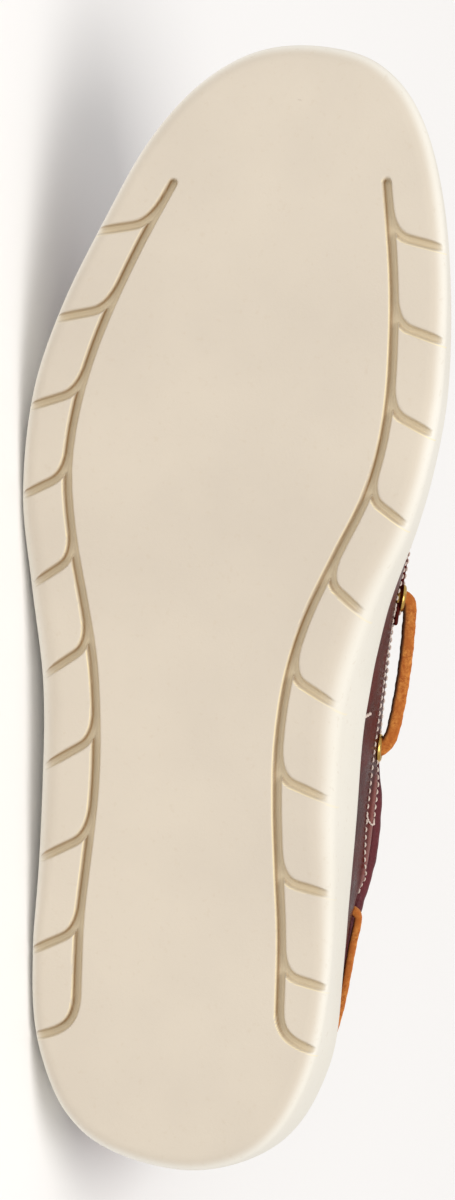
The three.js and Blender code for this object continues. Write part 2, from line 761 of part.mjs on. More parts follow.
// ---------------------------------------------------------------- laces
// Leather thong: a rectangle with cut corners, carried flat side down through stops that each have
// a place and the direction away from the leather under it.
function thong(stops, steps) {
  const w = laceWidth / 2;
  const t = laceThickness / 2;
  const cut = 0.7;
  const section = [
    [w - cut, -t],
    [w, cut - t],
    [w, t - cut],
    [w - cut, t],
    [cut - w, t],
    [-w, t - cut],
    [-w, cut - t],
    [cut - w, -t],
  ];
  const path = new THREE.CatmullRomCurve3(stops.map((stop) => stop.at));
  const lean = new THREE.CatmullRomCurve3(stops.map((stop) => stop.out));
  const rings = Array.from({ length: steps + 1 }, (_, k) => {
    const at = path.getPoint(k / steps);
    const along = path.getTangent(k / steps);
    const across = along.clone().cross(lean.getPoint(k / steps)).normalize();
    const out = across.clone().cross(along);
    return section.map(([a, b]) => at.clone().addScaledVector(across, a).addScaledVector(out, b));
  });
  return loft(rings);
}

// A stop of a thong over the last: out is how far its middle stands off.
const stopOn = (angle, share, out) => ({
  at: offLast(angle, share, out),
  out: lastNormal(angle, share),
});

// Side thong: out of the front eyelet, along the side and into the rear one. The inner one bows clear of
// the leather; the outer one is pressed flat by the shoe that lies on it.
const sideThongTable = [
  { share: 0, inner: 5.4, outer: 5.4 },
  { share: 0.12, inner: 5.4, outer: 5.2 },
  { share: 0.34, inner: 4.9, outer: 3.2 },
  { share: 0.56, inner: 4.4, outer: 1.9 },
  { share: 0.78, inner: 4.1, outer: 1.8 },
  { share: 0.9, inner: 3.9, outer: 1.8 },
  { share: 1, inner: 3.9, outer: 1.8 },
];
const rearStop = 5.6; // the outer thong goes into its rear eyelet this far ahead of the eyelet's middle
function makeSideLace(side) {
  const sign = outerSide[side];
  const [first, last] = eyeletPlaces.filter((p) => p.side === side && p.name.includes("side"));
  const rear = side === "medial" ? last.x : last.x + rearStop;
  const stops = sideThongTable.map((row) =>
    stopOn(
      sign * angleOf(lerp(first.x, rear, row.share)),
      lerp(first.share, last.share, row.share),
      side === "medial" ? row.inner : row.outer,
    ),
  );
  return thong(stops, 12);
}

// Heel thong on one side: out of its slot below the collar and round the counter, up to the backstay.
function makeHeelLace(side) {
  const sign = outerSide[side];
  const slot = 66.5;
  const besideStay = 0.145; // as an angle of the outline
  const belowTopAtStay = 0.135; // as shares of the section
  const belowTopAtSlot = 0.045;
  const stand = overlayOut + laceThickness / 2;
  const stops = anglesBetween(angleOf(slot), besideStay, 12).map((angle) => {
    const x = stationOf(angle);
    const below = lerp(belowTopAtStay, belowTopAtSlot, x / slot);
    return stopOn(sign * angle, section.top(x) - below, stand);
  });
  return thong(stops, 12);
}

// Front lacing: two thongs cross over the tongue between the lower and the upper eyelets.
function makeFrontLace() {
  const overEyelet = 0.7;
  const overRidge = 0.6;
  const upperThong = 1.4; // how far the second thong is lifted where it passes over the first
  const cross = (fromSide, lift) => {
    const low = eyeletPlaces.find((p) => p.name === `eyelet_low_${fromSide}`);
    const far = fromSide === "medial" ? "lateral" : "medial";
    const high = eyeletPlaces.find((p) => p.name === `eyelet_top_${far}`);
    const stand = eyeletStand(low) + eyeletHeight + gap + laceThickness / 2 + overEyelet;
    const towardsRidge = (share) => lerp(share, 1, 0.45);
    const over = (place, share, out) => {
      const station = lerp(low.x, high.x, place);
      const side = (place < 0.5 ? 1 : -1) * outerSide[fromSide];
      return stopOn(side * angleOf(station), share, out);
    };
    const stops = [
      over(0, low.share, stand),
      over(0.22, towardsRidge(low.share), stand + lift),
      over(0.5, 0.996, stand + overRidge + lift),
      over(0.78, towardsRidge(high.share), stand + lift),
      over(1, high.share, stand),
    ];
    return thong(stops, 12);
  };
  return cross("medial", 0).add(cross("lateral", upperThong));
}

// ---------------------------------------------------------------- materials
const leather = (colour, roughness) =>
  new THREE.MeshStandardMaterial({ color: colour, roughness, metalness: 0 });
const creamRubber = leather("#e3d8c8", 0.7);
const redBrownLeather = leather("#5b2220", 0.35);
const collarLeather = leather("#6b3c41", 0.55);
const tanLeather = leather("#b9823f", 0.6);
const laceLeather = leather("#c06a22", 0.85);
const brass = new THREE.MeshStandardMaterial({ color: "#c9a24a", roughness: 0.35, metalness: 0.9 });

// ---------------------------------------------------------------- assembly
const shoe = new THREE.Group();
function addPiece(name, geometry, material) {
  const mesh = new THREE.Mesh(geometry, material);
  mesh.name = name;
  shoe.add(mesh);
  return mesh;
}
const addSolid = (name, solid, material) => addPiece(name, geometryFromSolid(solid), material);

addSolid("outsole", makeOutsole(), creamRubber);
addSolid("insole", makeInsole(), tanLeather);
addSolid("upper", makeUpper(eyeletPlaces.map(eyeletHoleCutter)), redBrownLeather);
addSolid("tongue", makeTongue(), redBrownLeather);
addSolid("collar_pad", makeCollarPad(), collarLeather);
addSolid("backstay", makeBackstay(), redBrownLeather);
for (const side of ["medial", "lateral"]) {
  let wing = makeEyestay(side);
  for (const place of eyeletPlaces.filter((p) => p.side === side && p.out)) {
    wing = wing.subtract(eyeletHoleCutter(place));
  }
  addSolid(`eyestay_${side}`, wing, redBrownLeather);
}
for (const place of eyeletPlaces) {
  const mesh = addPiece(place.name, eyeletGeometry(), brass);
  const { at, normal } = placeOn(place, eyeletStand(place));
  mesh.position.copy(at);
  mesh.quaternion.setFromUnitVectors(new THREE.Vector3(0, 1, 0), normal);
}
addSolid("lace_front", makeFrontLace(), laceLeather);
addSolid("lace_side_medial", makeSideLace("medial"), laceLeather);
addSolid("lace_side_lateral", makeSideLace("lateral"), laceLeather);
addSolid("lace_heel_medial", makeHeelLace("medial"), laceLeather);
addSolid("lace_heel_lateral", makeHeelLace("lateral"), laceLeather);

// ---------------------------------------------------------------- lay the shoe on its outer side
// Middle of the volume of all the pieces, from the signed pyramids under their faces.
function middleOfVolume(object) {
  const sum = new THREE.Vector3();
  let volume = 0;
  object.traverse((mesh) => {
    if (!mesh.isMesh) return;
    const index = mesh.geometry.index.array;
    const corner = (k) =>
      new THREE.Vector3()
        .fromBufferAttribute(mesh.geometry.attributes.position, index[k])
        .applyMatrix4(mesh.matrixWorld);
    for (let k = 0; k < index.length; k += 3) {
      const [a, b, c] = [corner(k), corner(k + 1), corner(k + 2)];
      const share = a.dot(b.clone().cross(c)) / 6;
      volume += share;
      sum.addScaledVector(a.add(b).add(c), share / 4);
    }
  });
  return sum.divideScalar(volume);
}

// The resting face is the one of the shoe's hull that faces the outer side most and holds the middle
// of the volume straight above it.
function sideRest(object) {
  object.updateMatrixWorld(true);
  const outward = new THREE.Vector3(0, -1, 0);
  const middle = middleOfVolume(object);
  const holding = new ConvexHull().setFromObject(object).faces.filter((face) => {
    const foot = middle.clone().addScaledVector(face.normal, face.constant - middle.dot(face.normal));
    let edge = face.edge;
    do {
      const a = edge.tail().point;
      const b = edge.head().point;
      if (b.clone().sub(a).cross(foot.clone().sub(a)).dot(face.normal) < 0) return false;
      edge = edge.next;
    } while (edge !== face.edge);
    return true;
  });
  holding.sort((a, b) => b.normal.dot(outward) - a.normal.dot(outward));
  return holding[0].normal;
}

const restNormal = sideRest(shoe);
shoe.quaternion.setFromUnitVectors(restNormal, new THREE.Vector3(0, 0, -1));
const laid = new THREE.Group();
laid.add(shoe);
laid.updateMatrixWorld(true);
const toeWay = new THREE.Vector3(1, 0, 0).applyQuaternion(shoe.quaternion);
laid.rotation.z = Math.PI - Math.atan2(toeWay.y, toeWay.x);
laid.updateMatrixWorld(true);
const box = new THREE.Box3().setFromObject(laid, true);
laid.position.set(-(box.min.x + box.max.x) / 2, -(box.min.y + box.max.y) / 2, -box.min.z);

export default laid;
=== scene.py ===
import json
import math

import bpy
import numpy as np
from mathutils import Matrix


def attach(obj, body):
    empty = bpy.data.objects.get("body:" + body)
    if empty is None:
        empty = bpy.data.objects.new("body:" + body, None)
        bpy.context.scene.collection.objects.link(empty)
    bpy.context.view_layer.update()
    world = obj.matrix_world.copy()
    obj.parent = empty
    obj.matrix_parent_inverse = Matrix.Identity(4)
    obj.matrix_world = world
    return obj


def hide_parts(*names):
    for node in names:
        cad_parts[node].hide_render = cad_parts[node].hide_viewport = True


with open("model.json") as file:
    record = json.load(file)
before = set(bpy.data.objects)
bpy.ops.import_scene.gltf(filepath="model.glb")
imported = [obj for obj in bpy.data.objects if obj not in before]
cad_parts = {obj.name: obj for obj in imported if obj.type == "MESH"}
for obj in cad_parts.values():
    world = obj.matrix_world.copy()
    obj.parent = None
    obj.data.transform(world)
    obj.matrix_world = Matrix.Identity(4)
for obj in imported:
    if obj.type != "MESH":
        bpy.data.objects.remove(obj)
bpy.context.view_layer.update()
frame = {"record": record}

mmToM = 0.001


def unit(v):
    return v / np.linalg.norm(v, axis=-1, keepdims=True)


# The shoe's own frame, in mm: x from heel to toe, y to the inner side of the foot, z up from the tread.
shoe = {
    "length": 300.0,
    "heelSpot": 60.0,              # station of the heel's flat spot, on the middle line as the forefoot's is
    "gap": 0.35,                   # between pieces that meet
    "wall": 2.0,                   # upper leather with its lining
}

mounts = {m["name"]: m for m in frame["record"]["mounts"]}
heelSpot = np.array(mounts["heel_tread"]["pos_m"]) / mmToM
forefootSpot = np.array(mounts["forefoot_tread"]["pos_m"]) / mmToM
shoeUp = unit(-np.array(mounts["heel_tread"]["axis"]))
toeWay = forefootSpot - heelSpot
toeWay = unit(toeWay - shoeUp * (toeWay @ shoeUp))
medialWay = np.cross(shoeUp, toeWay)
shoeAxes = np.array([toeWay, medialWay, shoeUp])
shoeOrigin = heelSpot - shoe["heelSpot"] * toeWay


def toRow(points):  # shoe mm to row metres: origin plus each coordinate along its axis
    return (shoeOrigin + np.asarray(points) @ shoeAxes) * mmToM


# curves through tables


def hermite(knotX, knotY, slopes, x):  # cubic between neighbouring knots, from their heights and slopes
    k = np.clip(np.searchsorted(knotX, x) - 1, 0, len(knotX) - 2)
    h = knotX[k + 1] - knotX[k]
    t = np.clip((x - knotX[k]) / h, 0, 1)
    s = 1 - t
    ends = knotY[k] * (1 + 2 * t) * s * s + knotY[k + 1] * t * t * (3 - 2 * t)
    return ends + h * t * s * (slopes[k] * s - slopes[k + 1] * t)


def levelCurve(rows, column):  # never overshoots its rows: the slope is the harmonic mean of the two chords
    x, y = np.array(rows, float).T[[0, column]]
    rise = np.diff(y) / np.diff(x)
    before, after = rise[:-1], rise[1:]
    total = np.where(before * after > 0, before + after, 1)
    inner = np.where(before * after > 0, 2 * before * after / total, 0)
    slopes = np.concatenate([rise[:1], inner, rise[-1:]])
    return lambda at: hermite(x, y, slopes, at)


def roundCurve(x, y):  # the slope of each knot is the chord between its neighbours
    x, y = np.asarray(x, float), np.asarray(y, float)
    a = np.maximum(np.arange(len(x)) - 1, 0)
    b = np.minimum(np.arange(len(x)) + 1, len(x) - 1)
    slopes = (y[b] - y[a]) / (x[b] - x[a])
    return lambda at: hermite(x, y, slopes, at)


def tableRound(rows, column):
    x, y = np.array(rows, float).T[[0, column]]
    return roundCurve(x, y)


def ramp(low, high, x):  # smooth step from 0 at low to 1 at high
    t = np.clip((x - low) / (high - low), 0, 1)
    return t * t * (3 - 2 * t)


def blend(a, b, t):
    return a + (b - a) * t


def bell(x, width):  # 1 at 0, falling like a bell curve
    return np.exp(-((x / width) ** 2))


def travelAlong(points):  # distance of each point of a line from its first, along the line
    return np.concatenate([[0], np.cumsum(np.linalg.norm(np.diff(points, axis=0), axis=1))])


def readAlong(travel, values, at):  # a row of values at each of some distances along a line
    return np.stack([np.interp(at, travel, column) for column in values.T], -1)


def spread(travel, density, count, values):  # that many values, closer together where the density is higher
    total = np.concatenate([[0], np.cumsum((density[1:] + density[:-1]) / 2 * np.diff(travel))])
    return np.interp(np.linspace(0, total[-1], count), total, values)


# sole: outline, heights and grooves

sole = {
    # station: outer side, inner side of the widest outline
    "outline": [
        (0, 3, 3), (4.9, -19.4, 21.8), (12, -28.5, 29.8), (22, -34.6, 35.4), (36, -39.4, 39.4),
        (55, -41.4, 40.9), (78, -42, 40), (101, -43.2, 38.3), (126, -45.6, 38.4), (151, -50.6, 44),
        (176, -54.4, 53.4), (203, -53.4, 58.4), (226, -47.4, 58.6), (250, -38, 56), (270, -29.2, 51),
        (284, -19.8, 44.6), (293, -10, 36.7), (298.4, 1, 26.4), (300, 13, 13),
    ],
    # station: tread, floor of the cup, rim of the cup
    "heights": [
        (0, 2.6, 17.2, 25.8), (9, 1, 17, 25.5), (24, 0, 16.8, 25.2), (60, 0, 16.2, 25.4),
        (92, 0, 15, 25.8), (116, 0.9, 13.2, 25.8), (140, 1.2, 11, 25.2), (172, 0, 8.4, 23.4),
        (216, 0, 7.6, 22.2), (240, 1.2, 8.4, 22.4), (262, 3.6, 10.6, 23.8), (284, 7, 13.8, 26.4),
        (300, 10.2, 16.8, 28.8),
    ],
    # station: round of the tread's edge, how far the rim stands in
    "edge": [
        (0, 4, 1.3), (30, 4, 1.2), (55, 4, 2.3), (70, 5.1, 1.8), (80, 5.8, 1.15), (100, 6.8, -0.5),
        (126, 7.5, -1), (140, 7.3, -0.1), (151, 7, 0.9), (178, 5, 2.9), (226, 4, 3.3), (270, 4, 3.8),
        (300, 4.2, 4.4),
    ],
    # station: inner edge of the blocks on the outer side, on the inner side
    "field": [
        (43, -26.1, 27.5), (64, -27, 26.3), (82, -26.3, 24.1), (98, -25.8, 22.3), (114, -26.8, 21.2),
        (132, -29.2, 22.3), (148, -33.1, 26), (165, -37.4, 33), (182, -40.1, 40.2), (198, -39.3, 43.6),
        (216, -35.4, 44.3), (240, -27, 42.4), (267, -15.4, 37.4),
    ],
    # station: degrees by which the cross grooves lean to the toe, on the outer side, on the inner side
    "slant": [
        (53, 27, 12), (78, 29, 11), (102, 33, 19), (127, 37, 28), (151, 36, 37), (175, 29, 32),
        (200, 20, 23), (225, 14, 15), (250, 12, 10),
    ],
    "medial": {"sign": 1, "column": 2, "first": 248.3, "pitch": 24.6, "start": 264.6, "turn": 46.0},
    "lateral": {"sign": -1, "column": 1, "first": 246.4, "pitch": 24.0, "start": 260.6, "turn": 43.5},
    "crossCount": 9,
    "grooveWidth": 2.5,
    "grooveDepth": 2.3,
    "wallDraft": 0.75,      # width of a groove's sloping wall
    "lipRound": 0.3,        # how far the round of its lip reaches outside
    "shadedWay": (0.35, -0.94),  # walls on this side of a groove get painted shade
    "litLipWay": (-0.55, -0.84),   # and lips on this side get a painted highlight
    "rimWidth": 2.8,
    "rimRound": 0.9,
    "bedFlare": 1.4,        # bulge of the side wall
    "fieldMargin": 1.2,     # the fine rows start this far inside the long groove
    "halfColumns": 640,
    "bendStations": (6.5, 10.0, 13.5),  # behind the turn, where the long groove runs out to the edge
    "plainSpacing": 0.85,   # mm between columns away from the cross grooves
    "grooveSpacing": 0.3,
    "fineReach": 2.1,       # mm either side of a groove with the close columns
    "leanHeel": (26, 56),   # columns lean like the grooves from the second station on
    "leanToe": (244, 276),  # and stop leaning between these
    "fieldHeel": (15, 40),  # quarter ellipses close the field's ends: where each is closed, where full
    "fieldToe": (285, 267),
    "nearStep": 0.3,        # mm between rows next to the field, where the long groove is
    "nearRows": 21,
    "farRows": 12,          # over the rest of the tread
    "edgeRows": 10,         # round its edge
    "wallRows": 12,
    "lipIn": 0.4,           # chamfer at the inner edge of the rim
}


def angleOf(x):  # 0 at the heel's back, pi at the toe's tip
    return np.arccos(1 - 2 * np.asarray(x, float) / shoe["length"])


def stationOf(angle):
    return shoe["length"] / 2 * (1 - np.cos(angle))


def wrap(angle):
    return (np.asarray(angle, float) + np.pi) % (2 * np.pi) - np.pi


def outlineCurve():
    # y of the outline over the angle: inner side positive, outer side negative, both ends running on
    x, outer, inner = np.array(sole["outline"], float).T
    turn = angleOf(x)
    knots = [turn[-3:-1] - 2 * np.pi, [-np.pi], -turn[1:-1][::-1], turn, 2 * np.pi - turn[-3:-1][::-1]]
    heights = [inner[-3:-1], [outer[-1]], outer[1:-1][::-1], inner, outer[-3:-1][::-1]]
    return roundCurve(np.concatenate(knots), np.concatenate(heights))


outlineY = outlineCurve()
treadHeight = levelCurve(sole["heights"], 1)
floorHeight = levelCurve(sole["heights"], 2)
rimHeight = levelCurve(sole["heights"], 3)
edgeRound = levelCurve(sole["edge"], 1)
rimIn = levelCurve(sole["edge"], 2)


def outlineAt(angle):  # plan point of the outline and its outward normal, from a small step either way
    step = 1e-3
    a = np.stack([stationOf(angle - step), outlineY(wrap(angle - step))], -1)
    b = np.stack([stationOf(angle + step), outlineY(wrap(angle + step))], -1)
    way = unit(b - a)
    at = np.stack([stationOf(angle), outlineY(wrap(angle))], -1)
    return at, np.stack([-way[..., 1], way[..., 0]], -1)


def insetPoint(angle, inset):
    at, normal = outlineAt(angle)
    return at - normal * np.asarray(inset)[..., None]


# meshes and materials


def gridFaces(rows, columns, closedRows=False, closedColumns=False):
    # quads between neighbours of a grid whose points are stored row by row
    j = np.arange(rows if closedRows else rows - 1)[:, None]
    i = np.arange(columns if closedColumns else columns - 1)[None, :]
    below, above = j * columns, (j + 1) % rows * columns
    nextColumn = (i + 1) % columns
    quads = np.stack(np.broadcast_arrays(below + i, above + i, above + nextColumn, below + nextColumn), -1)
    return quads.reshape(-1, 4)


def joinParts(parts):  # list of (points, faces) to one pair
    starts = np.cumsum([0] + [len(p) for p, _ in parts[:-1]])
    return np.concatenate([p for p, _ in parts]), np.concatenate([f + s for (_, f), s in zip(parts, starts)])


def evenTurns(columns):  # outline angles all the way round from the heel's back
    return wrap(np.arange(columns) * 2 * np.pi / columns)


def closingStrip(ring, count, flip):  # grid of points from one side of a ring straight across to the other
    half = len(ring) // 2
    side = np.arange(half + 1)
    strip = blend(ring[side][None], ring[-side][None], np.linspace(0, 1, count + 1)[:, None, None])
    quads = gridFaces(count + 1, half + 1)
    return strip, quads[:, ::-1] if flip else quads


def newPiece(name, points, faces, materials, replaces=(), slot=None, faceMaterial=None, values=None):
    # merges equal points, drops faces without area, turns the shell outwards and makes the Blender object
    points = np.asarray(points, float).reshape(-1, 3)
    _, first, merged = np.unique(np.round(points, 4), axis=0, return_index=True, return_inverse=True)
    faces = merged.reshape(-1)[faces]
    points = points[first]
    after = np.roll(faces, -1, axis=1)
    same = faces == after
    across = (faces[:, 0] == faces[:, 2]) | (faces[:, 1] == faces[:, 3])
    full = (same.sum(1) == 0) & ~across
    kept = [faces[full]]
    order = [np.flatnonzero(full)]
    triangles = []
    for k in range(4):
        pick = np.flatnonzero((same.sum(1) == 1) & same[:, k] & ~across)
        triangles.append(faces[pick][:, [k, (k + 2) % 4, (k + 3) % 4]])
        order.append(pick)
    triangles = np.concatenate(triangles)
    order = np.concatenate(order)
    a, b, c, d = (points[kept[0][:, k]] for k in range(4))
    volume = np.einsum("ij,ij->", a, np.cross(b, c)) + np.einsum("ij,ij->", a, np.cross(c, d))
    if len(triangles):
        a, b, c = (points[triangles[:, k]] for k in range(3))
        volume += np.einsum("ij,ij->", a, np.cross(b, c))
    if volume < 0:
        kept[0], triangles = kept[0][:, ::-1], triangles[:, ::-1]
    mesh = bpy.data.meshes.new(name)
    mesh.from_pydata(toRow(points).tolist(), [], kept[0].tolist() + triangles.tolist())
    mesh.shade_smooth()
    for material in materials:
        mesh.materials.append(material)
    if faceMaterial is not None:
        mesh.polygons.foreach_set("material_index", faceMaterial[order].astype(np.int32))
    for key, value in (values or {}).items():
        attribute = mesh.attributes.new(key, "FLOAT", "POINT")
        attribute.data.foreach_set("value", np.asarray(value, np.float32).reshape(-1)[first])
    mesh.update()
    piece = bpy.data.objects.new(name, mesh)
    bpy.context.scene.collection.objects.link(piece)
    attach(piece, "root")
    if replaces:
        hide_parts(*replaces)
    return piece


def hexColour(code):  # sRGB hex to linear
    srgb = np.array([int(code[k:k + 2], 16) for k in (0, 2, 4)]) / 255
    linear = np.where(srgb <= 0.04045, srgb / 12.92, ((srgb + 0.055) / 1.055) ** 2.4)
    return (*linear.tolist(), 1.0)


def addNode(tree, kind, settings=None, **inputs):  # inputs are values, or sockets to link from
    node = tree.nodes.new(kind)
    for key, value in (settings or {}).items():
        setattr(node, key, value)
    for key, value in inputs.items():
        socket = node.inputs[int(key[1:])] if key[0] == "n" and key[1:].isdigit() else node.inputs[key]
        if isinstance(value, bpy.types.NodeSocket):
            tree.links.new(value, socket)
        else:
            socket.default_value = value
    return node


def startMaterial(name, roughness, ior=1.5, metallic=0.0):
    material = bpy.data.materials.new(name)
    material.use_nodes = True
    tree = material.node_tree
    shader = tree.nodes["Principled BSDF"]
    shader.inputs["Roughness"].default_value = roughness
    shader.inputs["Metallic"].default_value = metallic
    if not metallic:
        shader.inputs["IOR"].default_value = ior
    place = addNode(tree, "ShaderNodeTexCoord").outputs["Object"]
    return material, tree, shader, place


def perMm(size):  # texture scale on Object coordinates, in metres, for a pattern of that size in mm
    return 1 / (size * mmToM)


def mottle(tree, place, size, low=0.0, high=1.0, toLow=0.0, toHigh=1.0, detail=3.0, rough=0.55):
    # cloudy pattern with patches of that size in mm, its values from low to high stretched to a new range
    cloud = {"Scale": perMm(size), "Detail": detail, "Roughness": rough, "Vector": place}
    value = addNode(tree, "ShaderNodeTexNoise", **cloud).outputs["Fac"]
    return addNode(tree, "ShaderNodeMapRange", n0=value, n1=low, n2=high, n3=toLow, n4=toHigh).outputs[0]


def layColours(tree, colour, *layers):  # each layer is a factor and the colour it lays over the ones before
    colour = hexColour(colour) if isinstance(colour, str) else colour
    for factor, over in layers:
        over = hexColour(over) if isinstance(over, str) else over
        colour = addNode(tree, "ShaderNodeMix", {"data_type": "RGBA"}, n0=factor, n6=colour, n7=over).outputs[2]
    return colour


def finishShader(tree, shader, colour, rough=None, *relief):
    # links the colour, a roughness that varies, and a stack of bumps from pairs of height and depth in mm
    tree.links.new(colour, shader.inputs["Base Color"])
    if rough is not None:
        tree.links.new(rough, shader.inputs["Roughness"])
    normal = {}
    for height, depth in relief:
        bump = {"Height": height, "Distance": depth * mmToM, "Strength": 1.0, **normal}
        normal = {"Normal": addNode(tree, "ShaderNodeBump", **bump).outputs["Normal"]}
    if relief:
        tree.links.new(normal["Normal"], shader.inputs["Normal"])


def mouldedRubber():
    # cream natural rubber, compression moulded: matt tread, smoother paler wall, a warmer tan down in the
    # grooves, painted shade on one wall of each groove and a painted highlight on its lip
    material, tree, shader, place = startMaterial("mouldedCreamRubber", 0.62, 1.52)
    mark = {}
    for name in ("onWall", "inGroove", "onLip", "onSlope"):
        settings = {"attribute_type": "GEOMETRY", "attribute_name": name}
        mark[name] = addNode(tree, "ShaderNodeAttribute", settings).outputs["Fac"]
    cloud = mottle(tree, place, 60, 0.35, 0.65)
    tread = layColours(tree, "cdc2b2", (cloud, "d4c9b8"))
    wall = layColours(tree, "eae5d9", (cloud, "efebe1"))
    speck = mottle(tree, place, 1.6, 0.62, 0.74, 0, 0.16, detail=2)
    # painted highlight on the groove lips, painted shade halfway down one wall of each groove
    colour = layColours(tree, tread, (mark["onWall"], wall), (speck, "c2b096"), (mark["inGroove"], "d2c3a6"),
                        (mark["onLip"], "f8e8bc"), (mark["onSlope"], "8a6638"))
    rough = mottle(tree, place, 9, 0.3, 0.7, 0.52, 0.7)
    grain = mottle(tree, place, 0.7, detail=4, rough=0.6)
    finishShader(tree, shader, colour, rough, (grain, 0.05), (mottle(tree, place, 14, detail=2), 0.12))
    return material


def leather(name, base, deep, wearAndHighlight, roughness, grain, grainDepth, shine=0.5):
    # tanned cowhide: pebbled grain, pores, a colour that deepens in the creases and lightens where rubbed, and
    # a painted highlight, with the paling of stretched leather, where it stands raised
    material, tree, shader, place = startMaterial(name, roughness)
    shader.inputs["Specular IOR Level"].default_value = shine
    cloudSize = 16      # mm
    cloud = mottle(tree, place, cloudSize, 0.34, 0.66, detail=4)
    rubbed = mottle(tree, place, cloudSize / 3, 0.52, 0.78, 0, 0.45, detail=5, rough=0.65)
    cell = {"Scale": perMm(grain), "Vector": place}
    pebble = addNode(tree, "ShaderNodeTexVoronoi", {"feature": "DISTANCE_TO_EDGE"}, **cell).outputs["Distance"]
    pebble = addNode(tree, "ShaderNodeMapRange", n0=pebble, n1=0.0, n2=0.22).outputs[0]
    valley = addNode(tree, "ShaderNodeMapRange", n0=pebble, n1=0.0, n2=0.6, n3=0.35, n4=0.0).outputs[0]
    stretchedSheen = {"attribute_type": "GEOMETRY", "attribute_name": "stretchedSheen"}      # painted highlight where the leather stands raised, also the paling of stretched pull-up leather
    stretchedSheen = addNode(tree, "ShaderNodeAttribute", stretchedSheen).outputs["Fac"]
    colour = layColours(tree, deep, (cloud, base), (rubbed, wearAndHighlight), (valley, deep), (stretchedSheen, "9a6660"))
    rough = mottle(tree, place, cloudSize / 2, 0.3, 0.7, roughness - 0.08, roughness + 0.1)
    wrinkle = mottle(tree, place, grain * 5, detail=4, rough=0.6)
    finishShader(tree, shader, colour, rough, (pebble, grainDepth), (wrinkle, grainDepth * 2))
    return material


def rawhide():
    # suede-finished rawhide thong: nap stands up as a fine fuzz; painted shade on the side that faces the
    # leather
    material, tree, shader, place = startMaterial("suedeRawhide", 0.92, 1.45)
    fuzz = mottle(tree, place, 1.1, 0.4, 0.6, detail=6, rough=0.75)
    cloud = mottle(tree, place, 5, 0.35, 0.65)
    under = {"attribute_type": "GEOMETRY", "attribute_name": "under"}
    under = addNode(tree, "ShaderNodeAttribute", under).outputs["Fac"]
    nap = layColours(tree, "a8551b", (fuzz, "e39646"))
    # painted shade on the side of the thong that faces the leather
    colour = layColours(tree, "bd6826", (cloud, nap), (under, "48230f"))
    shader.inputs["Sheen Weight"].default_value = 0.35
    shader.inputs["Sheen Roughness"].default_value = 0.5
    shader.inputs["Sheen Tint"].default_value = hexColour("f0b070")
    finishShader(tree, shader, colour, None, (mottle(tree, place, 0.5, detail=5, rough=0.7), 0.12))
    return material


def waxedThread():
    # bonded polyester thread, waxed: off-white, with its twist as a fine bump
    material, tree, shader, place = startMaterial("waxedThread", 0.5, 1.5)
    soil = mottle(tree, place, 7, 0.4, 0.75, 0, 0.5)
    twist = {"Scale": perMm(0.45) / 2, "Distortion": 1.0, "Vector": place}
    wave = addNode(tree, "ShaderNodeTexWave", {"bands_direction": "DIAGONAL"}, **twist).outputs["Fac"]
    finishShader(tree, shader, layColours(tree, "e8d6ca", (soil, "c19a8a")), None, (wave, 0.06))
    return material


def pressedBrass():
    # lacquered brass, pressed and rolled: soft gold shine, slightly tarnished in patches
    material, tree, shader, place = startMaterial("pressedBrass", 0.28, metallic=1.0)
    patch = mottle(tree, place, 2.5, 0.4, 0.7, detail=4)
    colour = layColours(tree, "dcb768", (patch, "b48a42"))
    rough = mottle(tree, place, 1.2, 0.3, 0.7, 0.2, 0.38)
    finishShader(tree, shader, colour, rough, (mottle(tree, place, 0.6), 0.01))
    return material


creamRubber = mouldedRubber()
upperLeather = leather("waxedPullUpLeather", "5b160f", "3a0d0a", "74281d", 0.32, 0.9, 0.05, shine=0.06)
collarLeather = leather("softGarmentLeather", "6a2a30", "4a1a20", "875058", 0.5, 1.3, 0.07, shine=0.2)
liningLeather = leather("vegetableTannedLining", "b58a58", "8f6539", "c9a477", 0.6, 0.8, 0.03)
footbedLeather = leather("footbedLeather", "b98d5c", "936a40", "cda87c", 0.55, 0.9, 0.04)
thongLeather = rawhide()
thread = waxedThread()
brass = pressedBrass()
print("materials ready")

# camera, lights and floor

look = {
    "aim": (151.5, 5.7, 0.0),   # shoe point in the middle of the view
    "tilt": 16.0,               # degrees by which the view leans to the inner side, off straight at the tread
    "roll": 4.5,                # degrees
    "distance": 2800.0,
    "height": 317.2,            # mm seen from bottom to top
    "sensor": 36.0,
}


def addCamera():  # straight at the tread, leaned to the inner side, with the toe up and rolled
    tilt, roll = math.radians(look["tilt"]), math.radians(look["roll"])
    x, y, z = np.eye(3)
    back = math.sin(tilt) * y - math.cos(tilt) * z
    across = math.cos(tilt) * y + math.sin(tilt) * z
    right = math.cos(roll) * across + math.sin(roll) * x
    up = math.cos(roll) * x - math.sin(roll) * across
    turn = np.array([right, up, back]) @ shoeAxes
    data = bpy.data.cameras.new("camera")
    data.sensor_width = look["sensor"]
    data.lens = look["sensor"] * look["distance"] / look["height"]
    data.clip_start, data.clip_end = 0.1, 100.0
    camera = bpy.data.objects.new("camera", data)
    bpy.context.scene.collection.objects.link(camera)
    matrix = np.eye(4)
    matrix[:3, :3] = turn.T
    matrix[:3, 3] = toRow(np.array(look["aim"]) + back * look["distance"])
    camera.matrix_world = Matrix(matrix.tolist())
    bpy.context.scene.camera = camera


def addLight(name, place, size, power, colour="ffffff"):  # square lamp that faces the shoe
    data = bpy.data.lights.new(name, "AREA")
    data.size = size
    data.energy = power
    data.color = hexColour(colour)[:3]
    lamp = bpy.data.objects.new(name, data)
    bpy.context.scene.collection.objects.link(lamp)
    away = unit(np.array(place))
    side = unit(np.cross([0, 0, 1.0], away))
    matrix = np.eye(4)
    matrix[:3, 0], matrix[:3, 1], matrix[:3, 2] = side, np.cross(away, side), away
    matrix[:3, 3] = place
    lamp.matrix_world = Matrix(matrix.tolist())


